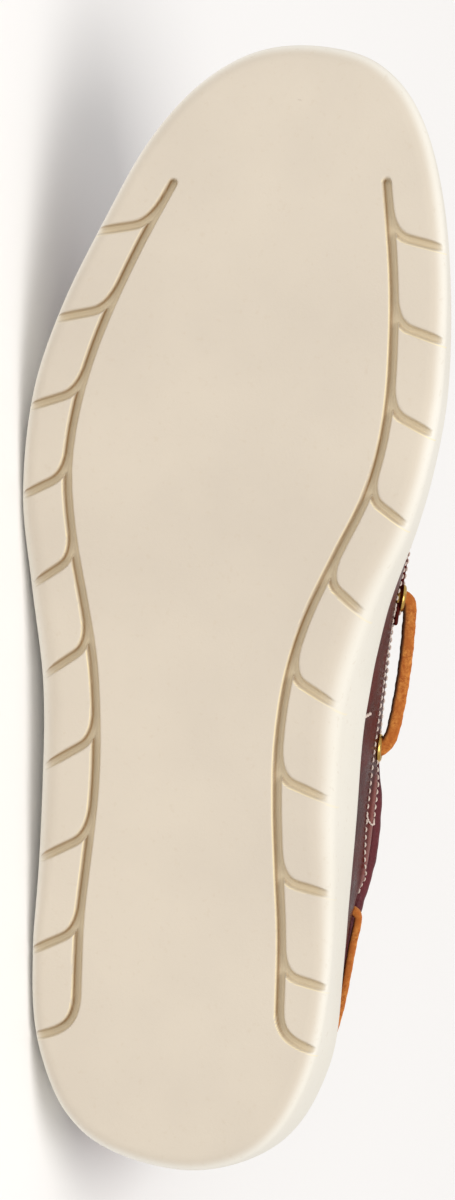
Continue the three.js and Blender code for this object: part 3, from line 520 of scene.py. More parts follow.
def addStage():
    material, tree, shader, place = startMaterial("matPaper", 0.9)
    finishShader(tree, shader, layColours(tree, "f7f6f5", (mottle(tree, place, 400), "fbfafa")))
    half = 20.0      # metres from the middle of the floor to its edge
    mesh = bpy.data.meshes.new("floor")
    corners = [(-half, -half, 0), (half, -half, 0), (half, half, 0), (-half, half, 0)]
    mesh.from_pydata(corners, [], [(0, 1, 2, 3)])
    mesh.materials.append(material)
    floor = bpy.data.objects.new("floor", mesh)
    bpy.context.scene.collection.objects.link(floor)
    world = bpy.data.worlds.new("studio")
    world.use_nodes = True
    background = world.node_tree.nodes["Background"]
    background.inputs["Color"].default_value = hexColour("fdfcfb")
    background.inputs["Strength"].default_value = 0.68
    bpy.context.scene.world = world
    bpy.context.scene.view_settings.view_transform = "Standard"


addCamera()
addLight("overhead", (0.25, -0.9, 1.9), 1.3, 21, "fffcf8")
addLight("front", (-1.3, -2.0, 0.6), 1.3, 8, "ffffff")
addStage()
print("camera, lights and floor ready")

# sole


def lineOffset(at, line):  # the shortest vector to many plan points from a line of plan points
    a, b = line[:-1], line[1:]
    way = b - a
    offset = at[:, None, :] - a[None]
    t = np.clip((offset * way).sum(-1) / (way * way).sum(-1), 0, 1)
    offset = offset - t[..., None] * way
    nearest = np.linalg.norm(offset, axis=-1).argmin(1)
    return offset[np.arange(len(at)), nearest]


def bezier(points, count):  # the curve that de Casteljau's steps give, for any number of control points
    t = np.linspace(0, 1, count)[:, None]
    level = [np.asarray(p, float) + 0 * t for p in points]
    while len(level) > 1:
        level = [a * (1 - t) + b * t for a, b in zip(level[:-1], level[1:])]
    return level[0]


def grooveLines():  # middle lines of the long groove and the cross grooves of both sides
    lines = []
    for name in ("medial", "lateral"):
        side = sole[name]
        sign = side["sign"]
        edge = tableRound(sole["field"], side["column"])
        slant = levelCurve(sole["slant"], side["column"])
        middle = lambda x: np.stack([x, edge(x) + sign * sole["grooveWidth"] / 2], -1)
        x = np.linspace(side["start"], side["turn"], 40)
        corner = middle(np.array(side["turn"]))
        steps = [(0, 0), (-9, 0), (-10.5, 4.5), (-13, 20)]   # how the long groove turns out at the heel
        bend = bezier([corner + np.array([dx, sign * dy]) for dx, dy in steps], 14)
        lines.append(np.concatenate([middle(x), bend[1:]]))
        stations = crossStations(side)
        outer, _ = outlineAt(sign * angleOf(stations))
        lean = np.radians(slant(stations))
        inward = np.stack([np.sin(lean), -sign * np.cos(lean)], -1)
        walk = np.linspace(0, 45, 900)
        track = outer[:, None] + inward[:, None] * walk[None, :, None]
        beyond = sign * (track[..., 1] - middle(track[..., 0])[..., 1]) <= 0
        junction = track[np.arange(len(stations)), beyond.argmax(1)]
        for start, way, meet in zip(outer, inward, junction):
            curve = bezier([meet - way * 5, meet, middle(meet[0] + 8)], 8)
            lines.append(np.concatenate([[start - way * 4], curve]))
    return lines


def crossStations(side):  # where the cross grooves of one side reach the outline
    return side["first"] - side["pitch"] * np.arange(sole["crossCount"])


def soleColumns():
    # outline angles of the columns from heel to toe on one side: their density rises at each cross groove
    sides = []
    for name in ("medial", "lateral"):
        side = sole[name]
        fine = np.linspace(0, np.pi, 6001)
        length = travelAlong(outlineAt(side["sign"] * fine)[0])
        stations = np.concatenate([crossStations(side), side["turn"] - np.array(sole["bendStations"])])
        grooves = np.interp(angleOf(stations), fine, length)
        plain, dense = 1 / sole["plainSpacing"], 1 / sole["grooveSpacing"]
        peaks = np.exp(-((np.abs(length[:, None] - grooves) / sole["fineReach"]) ** 4)).sum(1)
        density = plain + (dense - plain) * np.clip(peaks, 0, 1)
        sides.append(spread(length, density, sole["halfColumns"] + 1, fine))
    return np.concatenate([sides[0], -sides[1][1:-1][::-1]])


def fieldRing(turns):
    # where each column ends at the plain field: it runs in from the outline, leaned like the grooves along
    # the sides and square to the outline at heel and toe, until it meets the edge of the field
    start, normal = outlineAt(turns)
    sign = np.where(turns >= 0, 1, -1)
    station = start[:, 0]
    outerSlant, innerSlant = (levelCurve(sole["slant"], k)(station) for k in (1, 2))
    lean = np.radians(np.where(sign > 0, innerSlant, outerSlant))
    leaned = np.stack([np.sin(lean), -sign * np.cos(lean)], -1)
    along = ramp(*sole["leanHeel"], station) * (1 - ramp(*sole["leanToe"], station))
    way = unit(blend(-normal, leaned, along[:, None]))
    track = start[:, None] + way[:, None] * np.linspace(0, 60, 1600)[None, :, None]
    x, y = track[..., 0], track[..., 1]
    outer = tableRound(sole["field"], 1)(x) + sole["fieldMargin"]
    inner = tableRound(sole["field"], 2)(x) - sole["fieldMargin"]
    ends = (sole["fieldHeel"], sole["fieldToe"])
    reach = np.max([(full - x) / (full - closed) for closed, full in ends], axis=0)
    closing = np.sqrt(np.clip(1 - np.clip(reach, 0, 1) ** 2, 0, 1))   # quarter ellipses
    inside = (np.abs(y - (outer + inner) / 2) < (inner - outer) / 2 * closing) & (reach < 1)
    return track[np.arange(len(turns)), inside.argmax(1)], start, normal, way


def treadRows(ring, outline, way, cosine):
    # plan, height and share of side wall for each row from the field out: close rows over the long groove, rows
    # that share what is left, then a quarter round of the tread's edge
    rounding = edgeRound(outline[:, 0])
    band = outline + way * (rounding / cosine)[:, None] - ring
    near = sole["nearStep"] * np.arange(sole["nearRows"])[:, None]
    near = np.minimum(near / np.linalg.norm(band, axis=1), 1)
    far = blend(near[-1], 1, np.linspace(0, 1, sole["farRows"])[1:, None])
    plan = ring + band * np.concatenate([near, far])[..., None]
    height = treadHeight(plan[..., 0])
    turn = np.linspace(0, np.pi / 2, sole["edgeRows"])[1:, None]
    edge = outline + way * (rounding * (1 - np.sin(turn)) / cosine)[..., None]
    edgeHeight = treadHeight(edge[..., 0]) + rounding * (1 - np.cos(turn))
    edgeShare = np.broadcast_to(ramp(0.35, 1.15, turn), edgeHeight.shape)
    pairs = ((plan, edge), (height, edgeHeight), (np.zeros(height.shape), edgeShare))
    return [np.concatenate(pair) for pair in pairs]


def cutGrooves(plan, height):
    # raises the tread by the groove's depth along each groove, over its sloping walls; also the marks for the
    # groove, for the painted shade on its slopes and for the painted highlight on its lips
    flat = plan.reshape(-1, 2)
    offsets = np.array([lineOffset(flat, line) for line in grooveLines()])
    distances = np.linalg.norm(offsets, axis=-1)
    toward = unit(offsets[distances.argmin(0), np.arange(len(flat))] + 1e-6)
    shaded, wearAndHighlight = (np.clip(toward @ np.array(sole[key]), 0, 1).reshape(height.shape)
                    for key in ("shadedWay", "litLipWay"))
    distance = distances.min(0).reshape(height.shape) - sole["grooveWidth"] / 2
    sink = ramp(0, 1, (sole["lipRound"] - distance) / (sole["lipRound"] + sole["wallDraft"]))
    grooved = np.maximum(height, treadHeight(plan[..., 0]) + sole["grooveDepth"] * sink)
    grooved = np.where(sink > 0, grooved, height)
    lowered = grooved - height
    slope = shaded * bell(sink - 0.6, 0.28) * (lowered > 0.02)      # painted shade, strongest halfway down the wall
    lip = wearAndHighlight * bell(sink - 0.1, 0.1) * (sink > 0.005)             # painted highlight, only at its top
    return grooved, [np.clip(lowered / sole["grooveDepth"], 0, 1), slope, lip]


def wallRows(station):
    # inset and height of each row up the side: straight with a soft bulge, round over the rim, into the cup
    rim, inset, foot = rimHeight(station), rimIn(station), treadHeight(station) + edgeRound(station)
    rimRound, width, lip = sole["rimRound"], sole["rimWidth"], sole["lipIn"]
    rows = []
    for t in np.linspace(0, 1, sole["wallRows"])[1:]:
        rows.append((inset * t - sole["bedFlare"] * t * (1 - t), blend(foot, rim - rimRound, t)))
    for turn in np.linspace(0, np.pi / 2, 5)[1:]:
        rows.append((inset + rimRound * (1 - math.cos(turn)), rim - rimRound * (1 - math.sin(turn))))
    for deep, drop in ((width - lip, 0.0), (width - lip * 0.3, lip * 0.3), (width, lip)):
        rows.append((inset + deep, rim - drop))
    for t in (0.5, 1.0):
        rows.append((inset + width, blend(rim - lip, floorHeight(station), t)))
    return np.array(rows).transpose(1, 0, 2)


def buildSole():
    turns = soleColumns()
    ring, outline, normal, way = fieldRing(turns)
    cosine = np.maximum(0.3, -(way * normal).sum(1))
    plan, height, wallShare = treadRows(ring, outline, way, cosine)
    height, marks = cutGrooves(plan, height)
    inset, sideHeight = wallRows(outline[:, 0])
    plan = np.concatenate([plan, outline - normal * inset[..., None]])
    points = np.concatenate([plan, np.concatenate([height, sideHeight])[..., None]], -1)
    bare = np.zeros(inset.shape)
    marks = [np.concatenate([wallShare, bare + 1])] + [np.concatenate([mark, bare]) for mark in marks]
    marks = [[mark.reshape(-1)] for mark in marks]
    parts = [(points.reshape(-1, 3), gridFaces(len(points), len(turns), closedColumns=True))]
    for row, count, flip in ((0, 12, True), (-1, 6, False)):    # strips from side to side close both ends
        strip, quads = closingStrip(points[row], count, flip)
        if flip:
            strip[1:-1, :, 2] = treadHeight(strip[1:-1, :, 0])
        parts.append((strip.reshape(-1, 3), quads))
        for k, mark in enumerate(marks):
            mark.append(np.full(strip[..., 0].size, 0.0 if flip or k else 1.0))
    names = ("onWall", "inGroove", "onSlope", "onLip")
    values = {name: np.concatenate(mark) for name, mark in zip(names, marks)}
    newPiece("cupSole", *joinParts(parts), [creamRubber], ["outsole"], "cream_rubber", values=values)


buildSole()
print("sole ready")

# the last, which the upper and everything on it follow

last = {
    # station: side offset and height of the ridge
    "ridge": [
        (45, 2, 100), (75, 1.2, 104), (105, -0.2, 105), (130, -1, 103.5), (150, -0.6, 98),
        (165, 0.4, 90.5), (180, 2, 81.5), (197, 4.2, 72), (215, 6.6, 63.5), (235, 9.2, 56.2),
        (252, 11, 51.4), (264, 12, 48.6),
    ],
    # station: side height as a share of the rise, its bulge, shoulder reach, shoulder drop, top of the leather
    "section": [
        (0, 0.32, 1.6, 0.15, 14, 0.5), (30, 0.34, -0.8, 0.6, 14, 0.46), (60, 0.4, -1.4, 0.46, 13, 0.38),
        (90, 0.49, -0.4, 0.14, 11, 0.325), (115, 0.5, 0, 0.16, 9, 0.36), (132, 0.5, -0.8, 0.26, 6, 0.43),
        (146, 0.5, -2.4, 0.35, 4, 0.56), (157, 0.51, -4.2, 0.38, 3, 0.74), (168, 0.53, -5.2, 0.38, 2.4, 0.83),
        (184, 0.55, -4.8, 0.38, 2, 0.87), (198, 0.56, -3.8, 0.37, 1.6, 0.91), (206, 0.57, -3, 0.36, 1.4, 1),
        (230, 0.6, -0.8, 0.34, 1.2, 1), (262, 0.66, 1.4, 0.3, 1.8, 1), (300, 0.72, 2.4, 0.26, 4.2, 1),
    ],
    "archFill": (152, 34, 4.0),     # the inner side fills out over the arch: station, reach, mm
    "aboveRim": 0.5,                # it starts this far over the rim of the sole
}
ridgeY, ridgeZ = tableRound(last["ridge"], 1), tableRound(last["ridge"], 2)
flankHeight, flankBulge, shoulderReach, shoulderDrop, topShare = (
    levelCurve(last["section"], k) for k in range(1, 6)
)


def lastPoint(angle, share):
    # Bezier section from the rim of the sole (share 0), past the flank and the shoulder, to the ridge (share 1)
    angle, share = np.broadcast_arrays(angle, share)
    x = stationOf(angle)
    inset = rimIn(x) + sole["rimWidth"] + shoe["gap"]
    low = rimHeight(x) + last["aboveRim"]
    ridgeX = blend(last["ridge"][0][0], last["ridge"][-1][0], x / shoe["length"])
    ridge = np.stack([ridgeX, ridgeY(ridgeX), ridgeZ(ridgeX)], -1)
    foot = np.concatenate([insetPoint(angle, inset), low[..., None]], -1)
    flankZ = blend(low, ridge[..., 2], flankHeight(x))
    station, reach, fill = last["archFill"]
    bulge = flankBulge(x) + np.where(angle > 0, fill * bell(x - station, reach), 0)
    flank = np.concatenate([insetPoint(angle, inset - bulge), flankZ[..., None]], -1)
    shoulder = blend(foot, ridge, shoulderReach(x)[..., None])
    shoulder[..., 2] = ridge[..., 2] - shoulderDrop(x)
    t = share[..., None]
    s = 1 - t
    return s ** 3 * foot + 3 * t * s * s * flank + 3 * t * t * s * shoulder + t ** 3 * ridge


def lastFrame(angle, share):
    # point, outward normal, unit vector up the section, and mm of section for a share of 1
    angle, share = np.broadcast_arrays(np.asarray(angle, float), np.asarray(share, float))
    step = 2e-3
    low = np.clip(share, 0.003, 0.996)
    along = lastPoint(wrap(angle + step), low) - lastPoint(wrap(angle - step), low)
    up = lastPoint(angle, low + step) - lastPoint(angle, low - step)
    length = np.linalg.norm(up, axis=-1) / (2 * step)
    return lastPoint(angle, share), unit(np.cross(up, along)), unit(up), length


def outlineLength():  # mm round the outline from the heel's back, over the angle from 0 to 2 pi
    fine = np.linspace(0, 2 * np.pi, 4001)
    length = travelAlong(outlineAt(wrap(fine))[0])
    return lambda angle: np.interp(np.mod(angle, 2 * np.pi), fine, length)


roundLength = outlineLength()

# upper leather

upper = {
    "halfColumns": 270,
    "outerRows": 100,
    "innerRows": 26,
    "edgeSteps": 6,
    # station: share of the section where the hand-sewn apron seam runs
    "apronSeam": [(190, 0.645), (206, 0.625), (230, 0.6), (262, 0.565), (285, 0.53), (300, 0.515)],
    "seamFade": (196, 206),  # the seam rises between these stations
    "seamHeight": 1.15,
    "seamWidth": 1.05,
    "stitchPitch": 5.2,
    "seamStart": 204.0,      # station where the apron's stitches start on either side
    "gather": 0.55,          # depth of the gathers that the apron's thread pulls into the vamp
    "gatherAt": (3.4, 2.6),  # mm below the seam, and their half width
    "apronSink": 0.35,
    # the thong's tunnel between the rear eyelet and the slot: station, share
    "tunnel": [(70, 0.262), (76, 0.268), (94, 0.275), (111, 0.3)],
    "tunnelFade": ((72, 80), (104, 112)),     # it rises and sinks between these stations
    "tunnelHeight": 1.0,
    "tunnelWidth": 2.8,
    # soft flexing troughs over the ball: station at the apron seam, depth, half width
    "creases": [(207, 0.32, 2.6), (216, 0.42, 3.0), (226, 0.25, 2.8)],
    "creaseLean": 0.35,
    "creaseSpan": ((0.2, 0.5), (0.66, 0.8)),  # shares over which they deepen and fade out
}
apronSeam = levelCurve(upper["apronSeam"], 1)
tunnelShare = levelCurve(upper["tunnel"], 1)


def leatherRelief(angle, share, length):
    # mm by which the leather stands off the last: apron seam as a bell-shaped ridge, gathers as a wave below
    # it, apron sunk behind it, tunnel as a long low bell, flexing creases as leaning troughs
    x = stationOf(angle)
    fromSeam = (share - apronSeam(x)) * length
    sewn = ramp(*upper["seamFade"], x)
    relief = sewn * upper["seamHeight"] * bell(fromSeam, upper["seamWidth"])
    wave = 0.5 + 0.5 * np.cos(2 * np.pi * roundLength(angle) / upper["stitchPitch"])
    below, half = upper["gatherAt"]
    relief = relief - sewn * upper["gather"] * wave * bell(fromSeam + below, half)
    relief = relief - sewn * upper["apronSink"] * ramp(0.8, 3.0, fromSeam)
    fromTunnel = (share - tunnelShare(x)) * length
    rising, sinking = upper["tunnelFade"]
    within = ramp(*rising, x) * (1 - ramp(*sinking, x))
    relief = relief + within * upper["tunnelHeight"] * bell(fromTunnel, upper["tunnelWidth"])
    deepen, fade = upper["creaseSpan"]
    span = ramp(*deepen, share) * (1 - ramp(*fade, share))
    for station, depth, width in upper["creases"]:
        relief = relief - depth * bell(x - station - upper["creaseLean"] * fromSeam, width) * span
    return relief


def onLeather(angle, share, out=0.0):  # a point standing that far off the leather, with the normal there
    point, normal, _, length = lastFrame(angle, share)
    relief = leatherRelief(angle, share, length)
    return point + normal * (relief + out)[..., None], normal


def buildUpper():
    columns = 2 * upper["halfColumns"]
    turns = evenTurns(columns)
    x = stationOf(turns)
    top = topShare(x)
    closed = top > 0.9999
    even = np.linspace(0, 1, 400)      # rows are closer together at the apron seam and at the top
    density = 1 + 1.6 * np.exp(-(((even - 0.57) / 0.09) ** 4)) + 2.0 * bell(even - 1, 0.05)
    rise = spread(even, density, upper["outerRows"], even)
    inset = rimIn(x) + sole["rimWidth"] + shoe["gap"]
    wallInset = inset + shoe["wall"]
    rim = rimHeight(x) + last["aboveRim"]
    deep = floorHeight(x) + shoe["gap"]

    def skirt(plan, z):
        return np.concatenate([insetPoint(turns, plan), z[:, None]], -1)

    share = rise[:, None] * top[None]
    outer, _ = onLeather(np.broadcast_to(turns, share.shape), share)
    innerRise = np.linspace(1, 0, upper["innerRows"])
    innerShare = innerRise[:, None] * top[None]
    point, normal, _, _ = lastFrame(np.broadcast_to(turns, innerShare.shape), innerShare)
    inner = point - normal * shoe["wall"]
    edgePoint, edgeNormal, edgeUp, _ = lastFrame(turns, top)
    opposite = (columns - np.arange(columns)) % columns
    outer[-1] = np.where(closed[:, None], (outer[-1] + outer[-1][opposite]) / 2, outer[-1])
    inner[0] = np.where(closed[:, None], (inner[0] + inner[0][opposite]) / 2, inner[0])
    steps = np.arange(1, upper["edgeSteps"]) / upper["edgeSteps"]
    half = shoe["wall"] / 2
    edge = []
    for t in steps:      # half round over the cut edge, or straight through where the leather is closed
        turn = math.pi * t
        cut = edgePoint - edgeNormal * (half - half * math.cos(turn)) + edgeUp * (half * math.sin(turn))
        edge.append(np.where(closed[:, None], blend(outer[-1], inner[0], t), cut))
    rows = [skirt(inset, deep), skirt(inset, (deep + rim) / 2), *outer, *edge, *inner]
    rows += [skirt(wallInset, (deep + rim) / 2), skirt(wallInset, deep)]
    points = np.array(rows)
    faces = gridFaces(len(rows), columns, closedRows=True, closedColumns=True)
    row = np.repeat(np.arange(len(rows)), columns)
    column = np.tile(np.arange(columns), len(rows))
    firstEdge = 2 + upper["outerRows"] - 1
    lastEdge = firstEdge + upper["edgeSteps"]
    hidden = (row >= firstEdge) & (row < lastEdge) & closed[column] & closed[(column + 1) % columns]
    lined = (row >= lastEdge - 1).astype(int)
    keep = ~hidden
    stretchedSheen = np.zeros(points.shape[:2])      # painted highlight on the raised seams and the tunnel, with the paling of waxed leather stretched over them
    relief = leatherRelief(np.broadcast_to(turns, share.shape), share, lastFrame(turns, share)[3])
    stretchedSheen[2:2 + upper["outerRows"]] = 0.7 * ramp(0.15, 0.9, relief)
    return newPiece("sewnUpper", points, faces[keep], [upperLeather, liningLeather], ["upper"], "upper_leather",
                    faceMaterial=lined[keep], values={"stretchedSheen": stretchedSheen})


# flat leather pieces, stitches and thongs


def borderDistance(points, axis):  # mm along a grid's lines to the nearer end of each line
    step = np.linalg.norm(np.diff(points, axis=axis), axis=-1)
    pad = [(0, 0), (0, 0)]
    pad[axis] = (1, 0)
    far = np.cumsum(np.pad(step, pad), axis=axis)
    total = np.take(far, [-1], axis=axis)
    return np.minimum(far, total - far)


def edgeSpaced(count):  # from 0 to 1, closer together at both ends
    t = np.linspace(0, 1, count)
    return blend(t, (1 - np.cos(np.pi * t)) / 2, 0.85)


def leatherPatch(name, angle, share, middle, half, rounding, material, nodes, slot, extra=0.0):
    # two sheets either side of a middle distance off the leather, drawn together in a round along the border
    point, normal, _, length = lastFrame(angle, share)
    border = np.minimum(borderDistance(point, 0), borderDistance(point, 1))
    swell = np.sqrt(1 - (1 - np.clip(border / rounding, 0, 1)) ** 2)
    base = leatherRelief(angle, share, length) if middle > 0 else 0.0
    outer = point + normal * (base + extra + middle + half * swell)[..., None]
    inner = point + normal * (base + extra + middle - half * swell)[..., None]
    rows, columns = angle.shape
    quads = gridFaces(rows, columns)
    points, faces = joinParts([(outer.reshape(-1, 3), quads), (inner.reshape(-1, 3), quads[:, ::-1])])
    return newPiece(name, points, faces, [material], nodes, slot)


# sewn rows, and the hand stitches of the apron: how far each stitch bows up, and how deep its ends sink
stitch = {"pitch": 2.1, "fill": 0.76, "radius": 0.27, "arch": 0.22, "sink": 0.02, "over": 0.1}
apronStitch = {"length": 4.6, "radius": 0.42, "arch": 1.25, "sink": 1.0}


def stitchShapes(centre, along, normal, length, radius, arch, sink):
    # each stitch is a bowed spindle: a circle carried along a parabola, with its radius closing at both ends
    rings, sides = 7, 6
    u = np.linspace(-1, 1, rings)[None, :, None, None]
    turn = np.linspace(0, 2 * np.pi, sides, endpoint=False)[None, None, :, None]
    side = np.cross(normal, along)
    centre, along, normal, side = (v[:, None, None, :] for v in (centre, along, normal, side))
    thick = radius * np.sqrt(np.clip(1 - np.abs(u) ** 3, 0, 1))
    spine = centre + along * u * length / 2 + normal * (arch * (1 - u * u) - sink)
    points = spine + (side * np.cos(turn) + normal * np.sin(turn)) * thick
    count = len(points)
    quads = gridFaces(rings, sides, closedColumns=True)
    faces = quads[None] + (np.arange(count) * rings * sides)[:, None, None]
    return points.reshape(-1, 3), faces.reshape(-1, 4)


def stitchRow(angle, share, out, pitch=stitch["pitch"], fill=stitch["fill"], radius=stitch["radius"]):
    # stitches spaced evenly along a line
    point, normal = onLeather(angle, share, out)
    travel = travelAlong(point)
    count = max(1, round(travel[-1] / pitch))
    at = (np.arange(count) + 0.5) * travel[-1] / count
    near = 0.4      # mm either way, for the direction
    along = unit(readAlong(travel, point, at + near) - readAlong(travel, point, at - near))
    centre, facing = readAlong(travel, point, at), unit(readAlong(travel, normal, at))
    return stitchShapes(centre, along, facing, pitch * fill, radius, stitch["arch"], stitch["sink"])


def crossStitches(angle, share):  # hand stitches over the apron's ridge
    point, normal = onLeather(angle, share)
    _, _, up, _ = lastFrame(angle, share)
    return stitchShapes(point, up, normal, *apronStitch.values())


def shareAtHeight(side, x, z):  # share of the section at which the last reaches a height
    shares = np.linspace(0, 0.9, 120)
    angle = side * angleOf(x)
    heights = lastPoint(angle[:, None], shares[None])[..., 2]
    return shares[np.abs(heights - np.asarray(z)[:, None]).argmin(1)]


def lineOnSide(side, stops, count=160):  # smooth line through (station, height) stops on one side of the upper
    stops = np.array(stops, float)
    t = np.linspace(0, 1, count)
    own = np.linspace(0, 1, len(stops))
    x, z = roundCurve(own, stops[:, 0])(t), roundCurve(own, stops[:, 1])(t)
    share = shareAtHeight(side, x, z)
    window = np.ones(9) / 9
    share = np.convolve(np.pad(share, 4, mode="edge"), window, mode="valid")
    return side * angleOf(x), share


def smoothPath(stops, count):  # curve through stops with chord slopes, by distance along them
    stops = np.asarray(stops, float)
    travel = travelAlong(stops)
    at = np.linspace(0, travel[-1], count)
    return np.stack([roundCurve(travel, stops[:, k])(at) for k in range(stops.shape[1])], -1)


thong = {
    "width": 3.6,
    "thickness": 2.2,
    "squareness": 0.55,     # power of the superellipse, over 2
    "sides": 20,
    "step": 0.6,
    "uneven": ((0.03, 1.1, 0), (0.02, 2.7, 1)),     # waves in its size: share, turn for each mm, phase
}


def thongSweep(stops, facing, outward=None):
    # rounded rectangle (a superellipse) carried along a path with its flat side to the facing direction; also
    # how far each point lies on the side of the leather, the mask of its painted shade
    count = int(np.linalg.norm(np.diff(stops, axis=0), axis=1).sum() / thong["step"]) + 12
    outward = facing if outward is None else outward
    path, lean, away = np.split(smoothPath(np.concatenate([stops, facing, outward], 1), count), 3, axis=1)
    along = unit(np.gradient(path, axis=0))
    across = unit(np.cross(along, lean))
    out = np.cross(across, along)
    turn = np.linspace(0, 2 * np.pi, thong["sides"], endpoint=False)
    power = thong["squareness"]
    a = np.sign(np.cos(turn)) * np.abs(np.cos(turn)) ** power * thong["width"] / 2
    b = np.sign(np.sin(turn)) * np.abs(np.sin(turn)) ** power * thong["thickness"] / 2
    travel = np.arange(count) * thong["step"]
    uneven = 1 + sum(share * np.sin(travel * turning + phase) for share, turning, phase in thong["uneven"])
    fromEnd = np.minimum(np.arange(count), np.arange(count)[::-1]) * thong["step"]
    close = np.sqrt(1 - (1 - np.clip(fromEnd, 0, 1)) ** 2)      # round over the last millimetre
    size = (uneven * close)[:, None, None]
    ring = across[:, None] * a[None, :, None] + out[:, None] * b[None, :, None]
    points = path[:, None] + ring * size
    side = -(unit(ring) * unit(away)[:, None]).sum(-1)
    return points.reshape(-1, 3), gridFaces(count, thong["sides"], closedColumns=True), ramp(0.45, 0.8, side)


def lastStops(side, rows):  # (station, share, stand-off) rows to points and normals
    x, share, out = np.array(rows, float).T
    point, normal, _, _ = lastFrame(side * angleOf(x), share)
    return point + normal * out[:, None], normal


buildUpper()
print("upper ready")

# eyestays, backstay and tongue

trim = {
    "middle": 0.78,     # overlays lie from just over the leather to about 1.4 mm off it
    "half": 0.65,
    "rounding": 0.9,
    "wingBack": 147.0,
    "wingFront": 205.0,
    "wingBottom": (0.3, 0.62),
    "wingHighest": 0.94,
    "belowTop": 0.012,
    "stayHalf": 0.105,  # half the backstay's width, as an angle of the outline
    "stayBottom": 0.115,
    "overThong": 1.1,   # the backstay rises over the thong that runs under it
    "thongBelowTop": 0.123,
}


def wingShares(x, t):  # the eyestay's shares from its bottom line to just below the leather's edge
    along = np.clip((x - trim["wingBack"]) / (trim["wingFront"] - trim["wingBack"]), 0, 1)
    top = np.minimum(topShare(x), trim["wingHighest"]) - trim["belowTop"]
    return blend(blend(*trim["wingBottom"], along), top, t)


def buildEyestay(name, sign):
    turns = sign * blend(angleOf(trim["wingBack"]), angleOf(trim["wingFront"]), edgeSpaced(90))
    angle = np.broadcast_to(turns[None], (56, 90))
    share = wingShares(stationOf(angle), edgeSpaced(56)[:, None])
    leatherPatch("eyestay" + name.capitalize(), angle, share, trim["middle"], trim["half"], trim["rounding"],
                 upperLeather, ["eyestay_" + name], "upper_leather")


def buildBackstay():
    angle, t = np.meshgrid(blend(-trim["stayHalf"], trim["stayHalf"], edgeSpaced(40)), edgeSpaced(60))
    top = topShare(stationOf(angle)) - trim["belowTop"]
    share = blend(trim["stayBottom"], top, t)
    overThong = trim["overThong"] * bell(top - share - trim["thongBelowTop"], 0.05)
    leatherPatch("heelStrip", angle, share, trim["middle"], trim["half"], trim["rounding"],
                 upperLeather, ["backstay"], "upper_leather", extra=overThong)


tongue = {
    "back": 136.0,
    "front": 207.0,
    # station: half width as a share of the section
    "reach": [(136, 0.2), (146, 0.285), (170, 0.3), (207, 0.22)],
    "under": 4.85,      # its middle lies this far under the last's face
    "half": 1.05,
}


def tongueGrid():  # stations by lines across the ridge, from the outer to the inner side
    stations = blend(tongue["back"], tongue["front"], edgeSpaced(70))
    x, v = np.meshgrid(stations, 2 * edgeSpaced(61) - 1, indexing="ij")
    return np.where(v < 0, -1, 1) * angleOf(x), 1 - np.abs(v) * levelCurve(tongue["reach"], 1)(x)


def buildTongue():
    angle, share = tongueGrid()
    leatherPatch("tongueLeather", angle, share, -tongue["under"], tongue["half"], 1.0,
                 upperLeather, ["tongue"], "upper_leather")


for name, sign in (("medial", 1), ("lateral", -1)):
    buildEyestay(name, sign)
buildBackstay()
buildTongue()
print("overlays and tongue ready")

# padded collar

collar = {
    "front": 127.0,
    "columns": 420,
    # round the section: mm off the leather's face, mm above its top edge; below 0 it follows the leather down
    "profile": [
        (-0.6, 0.5), (1.3, 0.7), (2.5, 2.0), (2.9, 4.2), (2.1, 6.8), (0.2, 8.6), (-2.6, 8.8), (-5.0, 7.2),
        (-6.4, 4.6), (-6.9, 1.0), (-6.9, -3.5), (-6.3, -7.5), (-5.0, -10.4), (-3.4, -11.4), (-2.6, -10.0),
        (-2.45, -6.0), (-2.4, -2.0), (-1.9, -0.2),
    ],
    "sides": 54,
    "tuck": (98, 118),      # towards the front the pad hides behind the leather
    "pucker": 0.3,
    "puckerPitch": 8.5,
    "puckerWaves": ((0.6, 1, 0), (0.4, 1.73, 1.3)),     # share, turns for each pitch, phase
}


def closedCurve(points, count):  # smooth closed curve through points: each slope is half its neighbours' chord
    points = np.array(points, float)
    k, t = np.divmod(np.arange(count) * len(points) / count, 1)
    k = k.astype(int)
    before, start, end, after = (points[(k + step) % len(points)] for step in (-1, 0, 1, 2))
    t = t[:, None]
    a, b = (end - before) / 2, (after - start) / 2
    rise = 3 * (end - start) - 2 * a - b
    fall = 2 * (start - end) + a + b
    return start + a * t + rise * t ** 2 + fall * t ** 3


def buildCollar():
    span = float(angleOf(collar["front"]))
    turns = span * (2 * edgeSpaced(collar["columns"]) - 1)
    size = np.sqrt(np.clip(1.0 - (np.abs(turns) / span) ** 5, 0, 1))[:, None]
    profile = closedCurve(collar["profile"], collar["sides"])
    flat = ramp(*collar["tuck"], stationOf(turns))[:, None]
    out, up = profile[:, 0][None] * size, profile[:, 1][None] * size
    out = np.where(out > 0, out * (1 - 0.8 * flat), out) - 1.5 * flat * ramp(0, 3, up)
    top = topShare(stationOf(turns))[:, None]
    _, topNormal, topUp, length = lastFrame(turns, top[:, 0])
    down = np.minimum(up, 0) / length[:, None]
    angle = np.broadcast_to(turns[:, None], up.shape)
    point, normal, _, _ = lastFrame(angle, top + down)
    travel = roundLength(turns)[:, None]
    phase = 2 * np.pi * travel / collar["puckerPitch"]
    wave = sum(share * np.sin(phase * rate + shift) for share, rate, shift in collar["puckerWaves"])
    inside = ramp(1.0, 4.0, -out) * ramp(-11.5, -8.5, up) * (1 - ramp(3, 8, up))
    outside = ramp(0.5, 2.6, out) * 0.35
    swell = collar["pucker"] * wave * (outside - inside)
    points = point + normal * (out + swell)[..., None] + topUp[:, None] * np.maximum(up, 0)[..., None]
    faces = gridFaces(len(turns), collar["sides"], closedColumns=True)
    piece = newPiece("collarPadding", points, faces, [collarLeather], ["collar_pad"], "collar_leather")
    return piece


buildCollar()
print("collar ready")

# footbed

